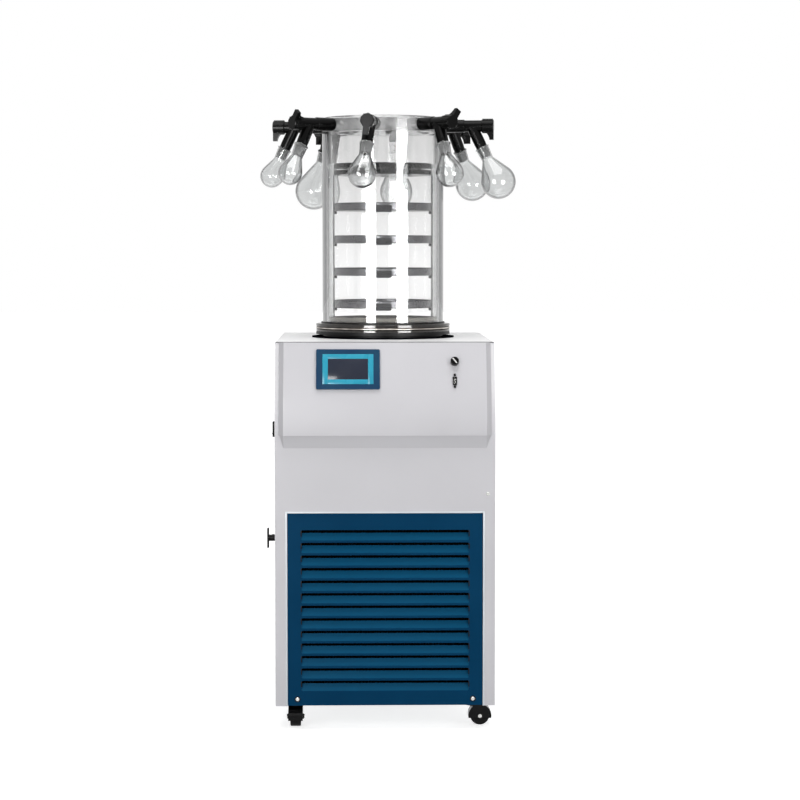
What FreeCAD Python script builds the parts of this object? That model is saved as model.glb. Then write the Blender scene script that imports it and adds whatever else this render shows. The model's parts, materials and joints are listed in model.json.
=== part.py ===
import FreeCAD
import Part
import math
import os

# A floor-standing laboratory freeze dryer with a clear drum and a flask manifold.
# Millimetres, +Z up. The origin lies on the floor, straight below the drum's axis.
# -Y is the front of the cabinet and +X is its right-hand side.

# ---- clearances ----
running_gap = 0.06  # radial, between a shaft and the hole it turns in
body_gap = 0.3  # between faces that move past each other
drop_in_gap = 0.2  # radial, round a piece that is dropped into its seat
panel_gap = 0.5  # round a sheet panel that sits in an opening
past = 5.0  # how far a cutting tool reaches beyond the face it cuts

# ---- cabinet ----
cabinet_width = 450.0
axis_to_front = 350.0
axis_to_back = 265.0
caster_height = 51.0
cabinet_height = 744.0
sheet = 1.5
front_lean = 20.0  # degrees that the upper front leans back
lean_radius = 250.0  # bend between the upright and the leaning front
lean_setback = 52.0  # how far the top edge of the front lies behind its foot
edge_fold = 20.0  # return folds that the back panel is screwed to
corner_radius = 4.0

# ---- console cover ----
console_margin = 8.0
console_chamfer = 10.0
console_stand_out = 15.0
console_foot = 531.0  # above the underside of the cabinet
console_foot_slope = 32.0
console_window_margin = 18.0

# ---- operator panel ----
screen_x = -75.5
screen_height = 741.0
bezel_width = 130.0
bezel_tall = 84.5
bezel_thick = 4.5
bezel_radius = 3.0
glass_width = 104.0
glass_tall = 64.0
glass_thick = 1.5
screen_back_width = 118.0
screen_back_tall = 70.0
screen_back_depth = 30.0

# ---- vent knob and data port ----
port_x = 142.0
vent_height = 756.0
vent_knob_radius = 8.5
vent_knob_length = 11.0
vent_bar_width = 3.0
vent_bar_thick = 1.0
vent_bar_angle = 38.0
vent_shaft_radius = 3.0
vent_shaft_length = 14.0
vent_collar_radius = 5.0
vent_collar_thick = 2.0
data_port_height = 718.0
data_port_tall = 16.9
data_port_wide = 8.3
data_port_stand = 3.0
data_port_wall = 0.8
data_flange_tall = 31.0
data_flange_wide = 12.5
data_flange_thick = 1.2
data_screw_pitch = 25.0
data_screw_radius = 2.4
data_screw_stand = 4.5
data_back_depth = 9.0

# ---- louvred front panel ----
louver_panel_width = 399.0
louver_panel_tall = 396.0
louver_panel_lift = 1.0
louver_sheet = 1.2
louver_recess = 1.5
louver_flange = 10.0
louver_count = 13
louver_pitch = 25.9
louver_width = 343.0
louver_slot = 6.5
louver_face = 14.5
louver_depth = 8.0
louver_top_margin = 34.0
louver_corner = 3.0
panel_screw_x = 180.0
panel_screw_lift = 13.0
side_screw_x = 210.0
side_screw_height = 488.0
screw_radius = 2.0
screw_head_radius = 4.0
screw_head_thick = 2.2
screw_length = 10.0
screw_slot = 1.1  # width and depth

# ---- base pan, back panel ----
pan_sheet = 2.0
pan_lip = 25.0
pan_front_gap = 2.0
vent_slot_length = 130.0
vent_slot_tall = 5.0
vent_slot_pitch = 14.0
vent_slot_rows = 12
vent_slot_x = 95.0
vent_slot_foot = 170.0
back_screw_inset = 10.0
back_screw_rows = 4

# ---- casters ----
caster_x = 185.0
caster_front_inset = 60.0
caster_back_inset = 60.0
caster_plate_side = 60.0
caster_plate_thick = 2.5
caster_race_radius = 17.0
caster_race_thick = 3.5
caster_disc_thick = 3.0
caster_king_radius = 4.0
caster_king_head = 6.5
caster_king_head_thick = 1.5
caster_trail = 12.0
wheel_radius = 20.0
wheel_width = 22.0
wheel_edge = 2.5
axle_radius = 4.0
axle_head_radius = 5.5
axle_head_thick = 2.0
fork_wall = 2.5
hood_wall = 2.5
hood_skirt = 15.0  # the hood's lower edge above the floor
fork_wheel_gap = 1.5
# left-right side, front-back side, turn of the fork about its king pin in degrees
casters = ((-1, -1, 0.0), (1, -1, 90.0), (-1, 1, 20.0), (1, 1, -35.0))

# ---- power switch and drain valve on the left side ----
switch_behind_front = 42.0
switch_height = 618.0
switch_tall = 31.0
switch_wide = 24.0
switch_frame = 2.5
switch_frame_thick = 2.0
switch_back_depth = 22.0
switch_pivot_radius = 1.5
switch_pocket_wall = 1.0
rocker_stand = 5.0
rocker_tilt = 9.0
rocker_dish = 2.0
rocker_root = 2.5  # how far it reaches in past its pivot
rocker_end_gap = 1.2  # at each end, so that the rocker can tilt
drain_behind_front = 90.0
drain_height = 387.0
drain_stub_radius = 6.75
drain_stub_length = 15.0
drain_bore_radius = 3.0
drain_nut_radius = 10.0
drain_nut_thick = 3.0
drain_body_radius = 12.0
drain_body_length = 32.0
drain_nozzle_radius = 4.5
drain_nozzle_length = 16.0
drain_nozzle_at = 8.0
drain_collar_radius = 5.5
drain_collar_reach = 12.0  # past the lock nut, from the stub's axis
drain_stem_radius = 3.0
drain_stem_depth = 10.0
drain_stem_length = 7.5
drain_grip_length = 42.0
drain_grip_thick = 4.0
drain_grip_wide = 9.0
drain_hub_radius = 5.0

# ---- rear ports ----
inlet_from_side = 75.0
inlet_height = 120.0
inlet_flange_wide = 50.0
inlet_flange_tall = 28.0
inlet_flange_thick = 3.0
inlet_body_wide = 28.0
inlet_body_tall = 21.0
inlet_body_depth = 28.0
inlet_well_wide = 24.0
inlet_well_tall = 17.0
inlet_well_depth = 20.0
inlet_pin_width = 2.0
inlet_pin_thick = 4.0
inlet_pin_length = 15.0
inlet_pin_spread = 7.0
vacuum_rise = 18.0  # port axis above the floor of the cold trap
vacuum_bore_radius = 12.5
vacuum_wall = 1.5
vacuum_stand_out = 22.0
vacuum_flange_radius = 20.0
vacuum_flange_thick = 4.0
vacuum_flange_taper = 3.0
vacuum_recess_radius = 13.0
vacuum_recess_depth = 3.0

# ---- cold trap ----
well_radius = 105.0
well_wall = 1.5
well_depth = 250.0
well_rim_radius = 125.0
well_drain_radius = 6.0
well_drain_length = 60.0
coil_tube_radius = 5.0
coil_turns = 8.5
coil_head_room = 23.0  # from the highest turn's centre line to the cabinet's top
coil_port_gap = 3.0  # between the lowest turn and the vacuum port
insulation_radius = 150.0
insulation_floor = 48.0
trap_plate_radius = 155.0
trap_plate_thick = 2.5

# ---- drum and seals ----
seat_gasket_inner = 118.0
seat_gasket_outer = 130.0
seat_gasket_thick = 4.5
drum_radius = 132.0
drum_wall = 10.0
drum_height = 436.0
drum_flange_reach = 14.5  # outside the tube
drum_flange_thick = 24.0
drum_flange_edge = 2.0
lip_ring_width = 3.0
lip_ring_thick = 3.0

# ---- manifold head ----
head_thick = 28.0
head_wall = 30.0
head_edge = 1.5
lid_thick = 4.0
lid_inset = 2.0  # inside the head's edge
lid_edge = 1.0
port_count = 8
port_radius = 9.5
first_port_angle = -8.5  # degrees from straight ahead, towards the right

# ---- manifold valves ----
valve_start = 3.0  # outside the head's wall
valve_sleeve_radius = 14.0
valve_sleeve_length = 44.0
valve_tube_radius = 12.5
valve_end = 83.5  # outside the head's wall
valve_round = 2.0
valve_spigot_length = 22.0
valve_passage_radius = 4.0
branch_at = 62.0  # outside the head's wall
branch_tilt = 26.0
branch_radius = 12.5
branch_neck_at = 42.0
stopper_radius = 12.0
stopper_length = 24.0
knob_radius = 14.5
knob_length = 26.0
knob_edge = 1.5
knob_stem_radius = 7.0
knob_stem_length = 22.0
lever_reach = 30.0
lever_tip_thick = 8.5
lever_root_thick = 18.0
lever_width = 13.0
lever_bow = 2.2  # how far its inner edge bows in
knob_rib_count = 10
knob_rib_radius = 1.2
# lever turn of each valve in degrees, 0 straight down, in order round the manifold
lever_turns = (-8.0, 146.0, 0.0, 0.0, 0.0, 0.0, 0.0, 142.0)
# roll of each valve's branch about its tube, in degrees, in the same order
branch_rolls = (-5.0, -6.5, 0.0, 0.0, 0.0, 0.0, 0.0, 0.0)

# ---- flasks ----
flask_wall = 1.8
flask_rim_radius = 15.5
flask_rim_tall = 3.0
flask_rim_at = 51.0  # along the branch, from the valve tube's axis
joint_length = 25.0
joint_taper = 1.6  # radius lost over the ground joint
flask_neck_end = 29.0
flask_neck_blend = 8.0
# bulb diameter and overall length of each flask, in order round the manifold
flask_sizes = (
    (58.5, 102.0),
    (58.5, 99.0),
    (75.0, 120.0),
    (75.0, 120.0),
    (84.0, 140.0),
    (84.0, 140.0),
    (51.0, 92.0),
    (51.0, 92.0),
)

# ---- drying rack ----
rack_base_lift = 36.0  # above the cabinet's top
rack_base_thick = 8.0
rack_to_drum = 5.0  # between the base's edge and the drum's wall
rack_base_hole = 40.0
rack_foot_radius = 4.0
rack_foot_inset = 6.5
rack_foot_count = 3
post_thick = 11.0
post_width = 20.0
peg_radius = 2.5
peg_length = 6.0
tray_count = 4
tray_pitch = 70.0
first_tray_lift = 64.0  # underside, above the cabinet's top
tray_to_drum = 16.3  # between a tray's wall and the drum's
tray_tall = 16.0
tray_wall = 1.2
tray_tab_width = 34.0
tray_tab_reach = 7.0
tray_tab_drop = 5.0  # below the rim
tray_lip_drop = 4.0  # below the tray's underside
cap_disc_thick = 10.0
cap_gap = 4.5
cap_lift = 351.5  # underside of the lower disc, above the cabinet's top
cap_pin_radius = 4.0
cap_pin_ring = 80.0

# ---- machinery in the cabinet ----
condenser_width = 300.0
condenser_tall = 250.0
condenser_depth = 56.0
condenser_behind_front = 25.0
condenser_lift = 3.0
fin_count = 30
fin_thick = 1.0
tube_rows = 6
tube_radius = 5.0
end_plate_thick = 2.0
shroud_gap = 1.0
shroud_sheet = 1.5
fan_ring_depth = 34.0
fan_radius = 100.0
fan_tip_gap = 6.0
fan_hub_radius = 20.0
fan_hub_length = 20.0
fan_shaft_radius = 4.0
fan_blade_count = 5
fan_blade_thick = 2.0
fan_blade_width = 46.0
fan_blade_pitch = 32.0
motor_radius = 34.0
motor_length = 48.0
motor_arm_width = 14.0
motor_arm_thick = 3.0
compressor_x = 75.0
compressor_y = 110.0
compressor_radius = 82.0
compressor_tall = 190.0
compressor_round = 45.0
compressor_belt = 4.0
compressor_foot_side = 190.0
compressor_foot_thick = 4.0
compressor_mount_radius = 12.0
compressor_mount_tall = 18.0
compressor_port_radius = 7.0
compressor_port_tall = 24.0
suction_x = 37.0
discharge_x = -30.0
discharge_y = 30.0
line_radius = 4.0
line_bend = 15.0
line_high = 360.0
liquid_high = 350.0
drier_radius = 15.0
drier_length = 90.0
drier_x = -165.0
control_box_width = 180.0
control_box_depth = 110.0
control_box_tall = 92.0
control_box_height = 585.0
control_box_behind_front = 55.0
control_lid_thick = 1.5
control_lid_lip = 4.0
drain_hose_wall = 1.5
drain_hose_low = 440.0
drain_hose_bend = 25.0
drain_hose_grip = 5.0  # how far the hose is pushed up the drain stub

# ---- worked out from the sizes above ----
cabinet_top = caster_height + cabinet_height
half_width = cabinet_width / 2
inlet_x = inlet_from_side - half_width
front_y = -axis_to_front
back_y = axis_to_back
lean = math.radians(front_lean)
lean_arc_setback = lean_radius * (1 - math.cos(lean))
lean_straight_rise = (lean_setback - lean_arc_setback) / math.tan(lean)
lean_start = cabinet_top - lean_straight_rise - lean_radius * math.sin(lean)
console_base_half = half_width - console_margin
console_face_half = console_base_half - console_chamfer
console_bottom = caster_height + console_foot
louver_panel_bottom = caster_height + louver_panel_lift
louver_panel_top = louver_panel_bottom + louver_panel_tall
pan_front = front_y + louver_recess + louver_flange + pan_front_gap
pan_top = caster_height + pan_sheet
well_outer = well_radius + well_wall
well_floor = cabinet_top - well_depth
coil_radius = well_outer + drop_in_gap + coil_tube_radius
vacuum_outer = vacuum_bore_radius + vacuum_wall
vacuum_height = well_floor + vacuum_rise
coil_bottom = vacuum_height + vacuum_outer + coil_port_gap + coil_tube_radius
coil_top = cabinet_top - coil_head_room
coil_pitch = (coil_top - coil_bottom) / coil_turns
insulation_bore = coil_radius + coil_tube_radius + drop_in_gap
insulation_bottom = well_floor - well_wall - insulation_floor
trap_plate_top = cabinet_top + trap_plate_thick
drum_bottom = trap_plate_top + seat_gasket_thick
drum_top = drum_bottom + drum_height
drum_bore = drum_radius - drum_wall
drum_flange_radius = drum_radius + drum_flange_reach
lid_radius = drum_radius - lid_inset
rack_base_radius = drum_bore - rack_to_drum
rack_foot_ring = rack_base_radius - rack_foot_inset
tray_radius = drum_bore - tray_to_drum
head_top = drum_top + head_thick
valve_height = drum_top + head_thick / 2
condenser_front = front_y + condenser_behind_front
condenser_back = condenser_front + condenser_depth
condenser_bottom = pan_top + condenser_lift
condenser_top = condenser_bottom + condenser_tall
fan_height = condenser_bottom + condenser_tall / 2
shroud_front = condenser_back + shroud_gap
motor_front = shroud_front + fan_ring_depth + motor_arm_thick
drain_y = front_y + drain_behind_front
switch_y = front_y + switch_behind_front
compressor_shell_bottom = pan_top + compressor_mount_tall + compressor_foot_thick
compressor_port_top = compressor_shell_bottom + compressor_tall + compressor_port_tall / 2


def vec(x, y, z):
    return FreeCAD.Vector(x, y, z)


axis_x = vec(1, 0, 0)
axis_y = vec(0, 1, 0)
axis_z = vec(0, 0, 1)
origin = vec(0, 0, 0)


def block(x, y, z):
    """A box from three (low, high) pairs."""
    corner = vec(x[0], y[0], z[0])
    return Part.makeBox(x[1] - x[0], y[1] - y[0], z[1] - z[0], corner)


def rod(radius, start, end):
    """A round bar from one point to another."""
    run = end.sub(start)
    return Part.makeCylinder(radius, run.Length, start, run)


def post(radius, bottom, top, x=0.0, y=0.0):
    return Part.makeCylinder(radius, top - bottom, vec(x, y, bottom))


def ring(outer, inner, bottom, top):
    return post(outer, bottom, top).cut(post(inner, bottom - past, top + past))


def fused(shapes):
    return shapes[0].fuse(list(shapes[1:])).removeSplitter()


def rounded_block(x, y, z, radius, along):
    """A box with the four edges along one axis rounded."""
    solid = block(x, y, z)
    edges = [e for e in solid.Edges if abs(e.tangentAt(0).dot(along)) > 0.99]
    return solid.makeFillet(radius, edges)


def edges_at_height(solid, height):
    tolerance = 1e-4
    return [
        e
        for e in solid.Edges
        if abs(e.BoundBox.ZMin - height) < tolerance
        and abs(e.BoundBox.ZMax - height) < tolerance
    ]


def bent_path(points, bend):
    """Straight runs joined by tangent arcs, as one wire."""
    edges = []
    last = points[0]
    for i in range(1, len(points) - 1):
        corner = points[i]
        back = points[i - 1].sub(corner)
        ahead = points[i + 1].sub(corner)
        back.normalize()
        ahead.normalize()
        half = back.getAngle(ahead) / 2
        cut = bend / math.tan(half)
        start = corner.add(back * cut)
        end = corner.add(ahead * cut)
        middle_way = back.add(ahead)
        middle_way.normalize()
        middle = corner.add(middle_way * (bend / math.sin(half) - bend))
        edges.append(Part.LineSegment(last, start).toShape())
        edges.append(Part.Arc(start, middle, end).toShape())
        last = end
    edges.append(Part.LineSegment(last, points[-1]).toShape())
    return Part.Wire(edges)


def swept_round(path, radius):
    """A round bar swept along a wire."""
    start = path.Edges[0]
    at = start.valueAt(start.FirstParameter)
    way = start.tangentAt(start.FirstParameter)
    circle = Part.Wire(Part.Circle(at, way, radius).toShape())
    return path.makePipeShell([circle], True, True)


def save(name, *shapes):
    """Write one node: a single solid, or a group of separate solids."""
    shape = shapes[0] if len(shapes) == 1 else Part.makeCompound(list(shapes))
    shape.exportStep("parts/" + name + ".step")


# ---- the cabinet's front, upright below and leaning back above ----
def front_points(inset):
    """Where the bend starts, its middle and its end, moved inwards by inset."""
    radius = lean_radius - inset
    centre_y = front_y + lean_radius
    return [
        vec(0, centre_y - radius * math.cos(turn), lean_start + radius * math.sin(turn))
        for turn in (0.0, lean / 2, lean)
    ]


def front_depth(inset, height):
    """The leaning front's y at a height above the bend."""
    end = front_points(inset)[2]
    return end.y + (height - end.z) * math.tan(lean)


def front_edges(inset, low, high):
    start, middle, end = front_points(inset)
    foot = vec(0, start.y, low)
    head = vec(0, front_depth(inset, high), high)
    return [
        Part.LineSegment(foot, start).toShape(),
        Part.Arc(start, middle, end).toShape(),
        Part.LineSegment(end, head).toShape(),
    ]


def side_prism(inset, low, high, back, half):
    """The cabinet's side outline, drawn out across its width."""
    edges = front_edges(inset, low, high)
    foot = edges[0].Vertexes[0].Point
    head = edges[2].Vertexes[1].Point
    top_corner = vec(0, back, high)
    low_corner = vec(0, back, low)
    edges.append(Part.LineSegment(head, top_corner).toShape())
    edges.append(Part.LineSegment(top_corner, low_corner).toShape())
    edges.append(Part.LineSegment(low_corner, foot).toShape())
    face = Part.Face(Part.Wire(edges))
    face.translate(vec(-half, 0, 0))
    return face.extrude(vec(2 * half, 0, 0))


def on_console(shape, x, height):
    """Set a piece drawn round the origin, facing -Y, on the leaning console."""
    placed = shape.copy()
    placed.rotate(origin, axis_x, -front_lean)
    placed.translate(vec(x, front_depth(-console_stand_out, height), height))
    return placed


# ---- sheet-metal cabinet ----
def cabinet_shell():
    shell_top = cabinet_top - sheet
    outer = side_prism(0, caster_height, shell_top, back_y, half_width)
    inner = side_prism(
        sheet, caster_height - past, shell_top + past, back_y + past, half_width - sheet
    )
    folds = []
    fold_y = (back_y - 2 * sheet, back_y - sheet)
    for side in (-1, 1):
        wall = side * (half_width - sheet)
        tip = side * (half_width - sheet - edge_fold)
        folds.append(block(sorted((wall, tip)), fold_y, (pan_top, shell_top)))
        rim = side * (louver_panel_width / 2 + panel_gap)
        rim_out = rim + side * sheet
        folds.append(
            block(
                sorted((rim, rim_out)),
                (front_y + sheet / 2, front_y + louver_flange),
                (caster_height, louver_panel_top + panel_gap),
            )
        )
    folds.append(
        block(
            (-louver_panel_width / 2, louver_panel_width / 2),
            (front_y + sheet / 2, front_y + louver_flange),
            (louver_panel_top + panel_gap, louver_panel_top + panel_gap + sheet),
        )
    )
    shell = fused([outer.cut(inner)] + folds)
    opening_half = louver_panel_width / 2 + panel_gap
    cuts = [
        block(
            (-opening_half, opening_half),
            (front_y - past, front_y + louver_flange + past),
            (caster_height - past, louver_panel_top + panel_gap),
        )
    ]
    window_half = console_face_half - console_window_margin
    cuts.append(
        block(
            (-window_half, window_half),
            (front_y - past, front_y + lean_setback + past),
            (console_bottom + console_foot_slope + console_window_margin,
             cabinet_top - console_window_margin),
        )
    )
    side_x = (-half_width - past, -half_width + past)
    cuts.append(
        block(
            side_x,
            (switch_y - switch_wide / 2 + switch_frame, switch_y + switch_wide / 2 - switch_frame),
            (switch_height - switch_tall / 2 + switch_frame,
             switch_height + switch_tall / 2 - switch_frame),
        )
    )
    cuts.append(
        rod(
            drain_stub_radius + drop_in_gap,
            vec(side_x[0], drain_y, drain_height),
            vec(side_x[1], drain_y, drain_height),
        )
    )
    cuts.append(screw_hole(side_screw_x, front_y, side_screw_height))
    cuts += [screw_hole(x, back_y, z) for x, z in back_screw_places()]
    return shell.cut(Part.makeCompound(cuts))


def screw_hole(x, y, z):
    reach = screw_length + past
    return rod(screw_radius + drop_in_gap, vec(x, y - reach, z), vec(x, y + reach, z))


def back_screw_places():
    x = half_width - sheet - back_screw_inset
    low = caster_height + pan_lip + back_screw_inset
    high = cabinet_top - sheet - back_screw_inset
    step = (high - low) / (back_screw_rows - 1)
    return [(side * x, low + row * step) for side in (-1, 1) for row in range(back_screw_rows)]


def top_panel():
    y = (front_depth(0, cabinet_top), back_y)
    plate = rounded_block(
        (-half_width, half_width), y, (cabinet_top - sheet, cabinet_top), corner_radius, axis_z
    )
    lips = []
    for side in (-1, 1):
        outer = side * (half_width - sheet - drop_in_gap)
        inner = outer - side * sheet
        lips.append(
            block(
                sorted((outer, inner)),
                (y[0] + edge_fold, y[1] - edge_fold),
                (cabinet_top - edge_fold, cabinet_top - sheet / 2),
            )
        )
    hole = post(well_rim_radius + drop_in_gap, cabinet_top - past, cabinet_top + past)
    return fused([plate] + lips).cut(hole)


def back_panel():
    half = half_width - sheet
    plate = block(
        (-half, half), (back_y - sheet, back_y), (caster_height, cabinet_top - sheet)
    )
    y = (back_y - sheet - past, back_y + past)
    cuts = []
    for side in (-1, 1):
        centre = side * vent_slot_x
        for row in range(vent_slot_rows):
            low = vent_slot_foot + row * vent_slot_pitch
            x = (centre - vent_slot_length / 2, centre + vent_slot_length / 2)
            cuts.append(
                rounded_block(
                    x, y, (low, low + vent_slot_tall), vent_slot_tall / 2 - running_gap, axis_y
                )
            )
    vacuum_hole = vacuum_outer + drop_in_gap
    cuts.append(rod(vacuum_hole, vec(0, y[0], vacuum_height), vec(0, y[1], vacuum_height)))
    cuts.append(
        block(
            (inlet_x - inlet_body_wide / 2, inlet_x + inlet_body_wide / 2),
            y,
            (inlet_height - inlet_body_tall / 2, inlet_height + inlet_body_tall / 2),
        )
    )
    cuts += [screw_hole(x, back_y, z) for x, z in back_screw_places()]
    return plate.cut(Part.makeCompound(cuts))


def base_pan():
    half = half_width - sheet
    back = back_y - 2 * sheet
    tray = block((-half, half), (pan_front, back), (caster_height, caster_height + pan_lip))
    hollow = block(
        (-half + pan_sheet, half - pan_sheet),
        (pan_front + pan_sheet, back - pan_sheet),
        (pan_top, caster_height + pan_lip + past),
    )
    cuts = [
        screw_hole(side * panel_screw_x, pan_front, louver_panel_bottom + panel_screw_lift)
        for side in (-1, 1)
    ]
    return tray.cut(hollow).cut(Part.makeCompound(cuts))


# ---- console cover ----
def console_wire(x, stand, foot, slope):
    """One cross-section of the cover: a foot slope, the front, and the line of the cabinet."""
    outer = front_edges(-stand, foot + slope, cabinet_top)
    inner = front_edges(0, foot, cabinet_top)
    top = Part.LineSegment(outer[2].Vertexes[1].Point, inner[2].Vertexes[1].Point)
    low = Part.LineSegment(inner[0].Vertexes[0].Point, outer[0].Vertexes[0].Point)
    wire = Part.Wire([low.toShape()] + outer + [top.toShape()] + inner[::-1])
    wire.translate(vec(x, 0, 0))
    return wire


def console_cover():
    foot = console_bottom
    slope = console_foot_slope
    rim_foot = foot + slope
    sections = [
        console_wire(-console_base_half, sheet, rim_foot, sheet),
        console_wire(-console_face_half, console_stand_out, foot, slope),
        console_wire(console_face_half, console_stand_out, foot, slope),
        console_wire(console_base_half, sheet, rim_foot, sheet),
    ]
    cover = Part.makeLoft(sections, True, True)
    hollow_top = cabinet_top - sheet
    outer = side_prism(
        sheet - console_stand_out, foot, hollow_top, 0, console_face_half - sheet
    )
    hollow = outer.cut(foot_wedge())
    return cover.cut(hollow).cut(Part.makeCompound(console_holes()))


def foot_wedge():
    """The space below a line that runs one sheet thickness inside the foot slope."""
    slope = console_foot_slope / console_stand_out
    y_front = front_y - console_stand_out - past
    y_back = front_y + past
    line_at_front = console_bottom + sheet * math.hypot(1, slope)
    floor = console_bottom - past * slope - past
    points = [
        vec(-half_width, y_front, floor),
        vec(-half_width, y_back, floor),
        vec(-half_width, y_back, line_at_front - past * slope),
        vec(-half_width, y_front, line_at_front + (console_stand_out + past) * slope),
    ]
    face = Part.Face(Part.makePolygon(points + points[:1]))
    return face.extrude(vec(cabinet_width, 0, 0))


def console_holes():
    depth = (-past, console_stand_out)
    screen = block(
        (-screen_back_width / 2, screen_back_width / 2),
        depth,
        (-screen_back_tall / 2, screen_back_tall / 2),
    )
    vent = rod(vent_shaft_radius + running_gap, vec(0, depth[0], 0), vec(0, depth[1], 0))
    port = block(
        (-data_port_wide / 2 - drop_in_gap, data_port_wide / 2 + drop_in_gap),
        depth,
        (-data_port_tall / 2 - drop_in_gap, data_port_tall / 2 + drop_in_gap),
    )
    holes = [
        on_console(screen, screen_x, screen_height),
        on_console(vent, port_x, vent_height),
        on_console(port, port_x, data_port_height),
    ]
    for side in (-1, 1):
        screw = rod(
            data_screw_radius + drop_in_gap,
            vec(0, depth[0], side * data_screw_pitch / 2),
            vec(0, depth[1], side * data_screw_pitch / 2),
        )
        holes.append(on_console(screw, port_x, data_port_height))
    return holes


# ---- operator panel ----
def screen_bezel():
    frame = rounded_block(
        (-bezel_width / 2, bezel_width / 2),
        (-bezel_thick, 0),
        (-bezel_tall / 2, bezel_tall / 2),
        bezel_radius,
        axis_y,
    )
    body = block(
        (-screen_back_width / 2, screen_back_width / 2),
        (-glass_thick, screen_back_depth),
        (-screen_back_tall / 2, screen_back_tall / 2),
    )
    recess = block(
        (-glass_width / 2, glass_width / 2),
        (-bezel_thick - past, -bezel_thick + glass_thick),
        (-glass_tall / 2, glass_tall / 2),
    )
    return on_console(frame.fuse(body).cut(recess).removeSplitter(), screen_x, screen_height)


def screen_glass():
    pane = block(
        (-glass_width / 2, glass_width / 2),
        (-bezel_thick, -bezel_thick + glass_thick),
        (-glass_tall / 2, glass_tall / 2),
    )
    return on_console(pane, screen_x, screen_height)


def vent_knob():
    head = rod(vent_knob_radius, vec(0, -vent_knob_length, 0), vec(0, -body_gap, 0))
    head = head.makeChamfer(vent_bar_thick, [front_edge(head)])
    bar = block(
        (-vent_bar_width / 2, vent_bar_width / 2),
        (-vent_knob_length - vent_bar_thick, -vent_knob_length / 2),
        (-vent_knob_radius + vent_bar_thick, vent_knob_radius - vent_bar_thick),
    )
    bar.rotate(origin, axis_y, -vent_bar_angle)
    shaft = rod(vent_shaft_radius, vec(0, -vent_knob_length / 2, 0), vec(0, vent_shaft_length, 0))
    collar_start = sheet + body_gap
    collar = rod(
        vent_collar_radius,
        vec(0, collar_start, 0),
        vec(0, collar_start + vent_collar_thick, 0),
    )
    return on_console(fused([head, bar, shaft, collar]), port_x, vent_height)


def front_edge(solid):
    """The round edge that lies furthest towards -Y."""
    return min(solid.Edges, key=lambda e: e.BoundBox.YMax)


def data_port():
    flange = block(
        (-data_flange_wide / 2, data_flange_wide / 2),
        (sheet, sheet + data_flange_thick),
        (-data_flange_tall / 2, data_flange_tall / 2),
    )
    shell = block(
        (-data_port_wide / 2, data_port_wide / 2),
        (-data_port_stand, sheet + data_flange_thick),
        (-data_port_tall / 2, data_port_tall / 2),
    )
    mouth = block(
        (-data_port_wide / 2 + data_port_wall, data_port_wide / 2 - data_port_wall),
        (-data_port_stand - past, -running_gap),
        (-data_port_tall / 2 + data_port_wall, data_port_tall / 2 - data_port_wall),
    )
    back = block(
        (-data_port_wide / 2, data_port_wide / 2),
        (sheet, sheet + data_back_depth),
        (-data_port_tall / 2, data_port_tall / 2),
    )
    pieces = [flange, shell, back]
    for side in (-1, 1):
        z = side * data_screw_pitch / 2
        flange_back = sheet + data_flange_thick
        pieces.append(
            rod(data_screw_radius, vec(0, -data_screw_stand, z), vec(0, flange_back, z))
        )
    return on_console(fused(pieces).cut(mouth), port_x, data_port_height)


# ---- louvred front panel ----
def louver_panel():
    front = front_y + louver_recess
    back = front + louver_sheet
    half = louver_panel_width / 2
    tray = block(
        (-half, half), (front, front + louver_flange), (louver_panel_bottom, louver_panel_top)
    )
    hollow = block(
        (-half + louver_sheet, half - louver_sheet),
        (back, front + louver_flange + past),
        (louver_panel_bottom + louver_sheet, louver_panel_top - louver_sheet),
    )
    windows = []
    scoops = []
    for row in range(louver_count):
        top = louver_panel_top - louver_top_margin - row * louver_pitch
        windows.append(louver_window(front, top))
        scoops.append(louver_scoop(front, top))
    holes = [
        screw_hole(side * panel_screw_x, front, louver_panel_bottom + panel_screw_lift)
        for side in (-1, 1)
    ]
    panel = tray.cut(hollow).cut(Part.makeCompound(windows + holes))
    return fused([panel] + scoops)


def louver_window(front, top):
    bottom = top - louver_slot - louver_face
    return rounded_block(
        (-louver_width / 2, louver_width / 2),
        (front - past, front + past),
        (bottom, top),
        louver_corner,
        axis_y,
    )


def louver_scoop(front, top):
    """A strip folded inwards at its top edge, with a cheek at each end."""
    half = louver_width / 2
    low = top - louver_slot - louver_face
    high = top - louver_slot
    deep = front + louver_depth
    outline = [
        vec(-half, front, low - louver_sheet),
        vec(-half, front, low),
        vec(-half, deep, high),
        vec(-half, deep + louver_sheet, high),
        vec(-half, deep + louver_sheet, high - louver_sheet),
        vec(-half, front + louver_sheet, low - louver_sheet),
    ]
    strip = Part.Face(Part.makePolygon(outline + outline[:1])).extrude(vec(2 * half, 0, 0))
    pieces = [strip]
    for side in (-1, 1):
        x = sorted((side * half, side * (half + louver_sheet)))
        cheek_line = [
            vec(x[0], front + running_gap, low - louver_sheet),
            vec(x[0], deep + louver_sheet, high - louver_sheet),
            vec(x[0], deep + louver_sheet, high),
            vec(x[0], front + running_gap, top),
        ]
        cheek = Part.Face(Part.makePolygon(cheek_line + cheek_line[:1]))
        pieces.append(cheek.extrude(vec(louver_sheet, 0, 0)))
    return fused(pieces)


def panel_screw(x, y, z, outward, length):
    """A pan-head screw. outward is -1 on the front of the cabinet and 1 on its back."""
    head_end = y + outward * screw_head_thick
    head = rod(screw_head_radius, vec(x, y, z), vec(x, head_end, z))
    rim = [e for e in head.Edges if abs(e.BoundBox.YMin - head_end) < running_gap]
    head = head.makeChamfer(screw_head_thick / 2, rim[:1])
    slot = block(
        (x - screw_head_radius, x + screw_head_radius),
        sorted((head_end, head_end - outward * screw_slot)),
        (z - screw_slot / 2, z + screw_slot / 2),
    )
    shank = rod(screw_radius, vec(x, y, z), vec(x, y - outward * length, z))
    return head.fuse(shank).cut(slot)


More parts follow.
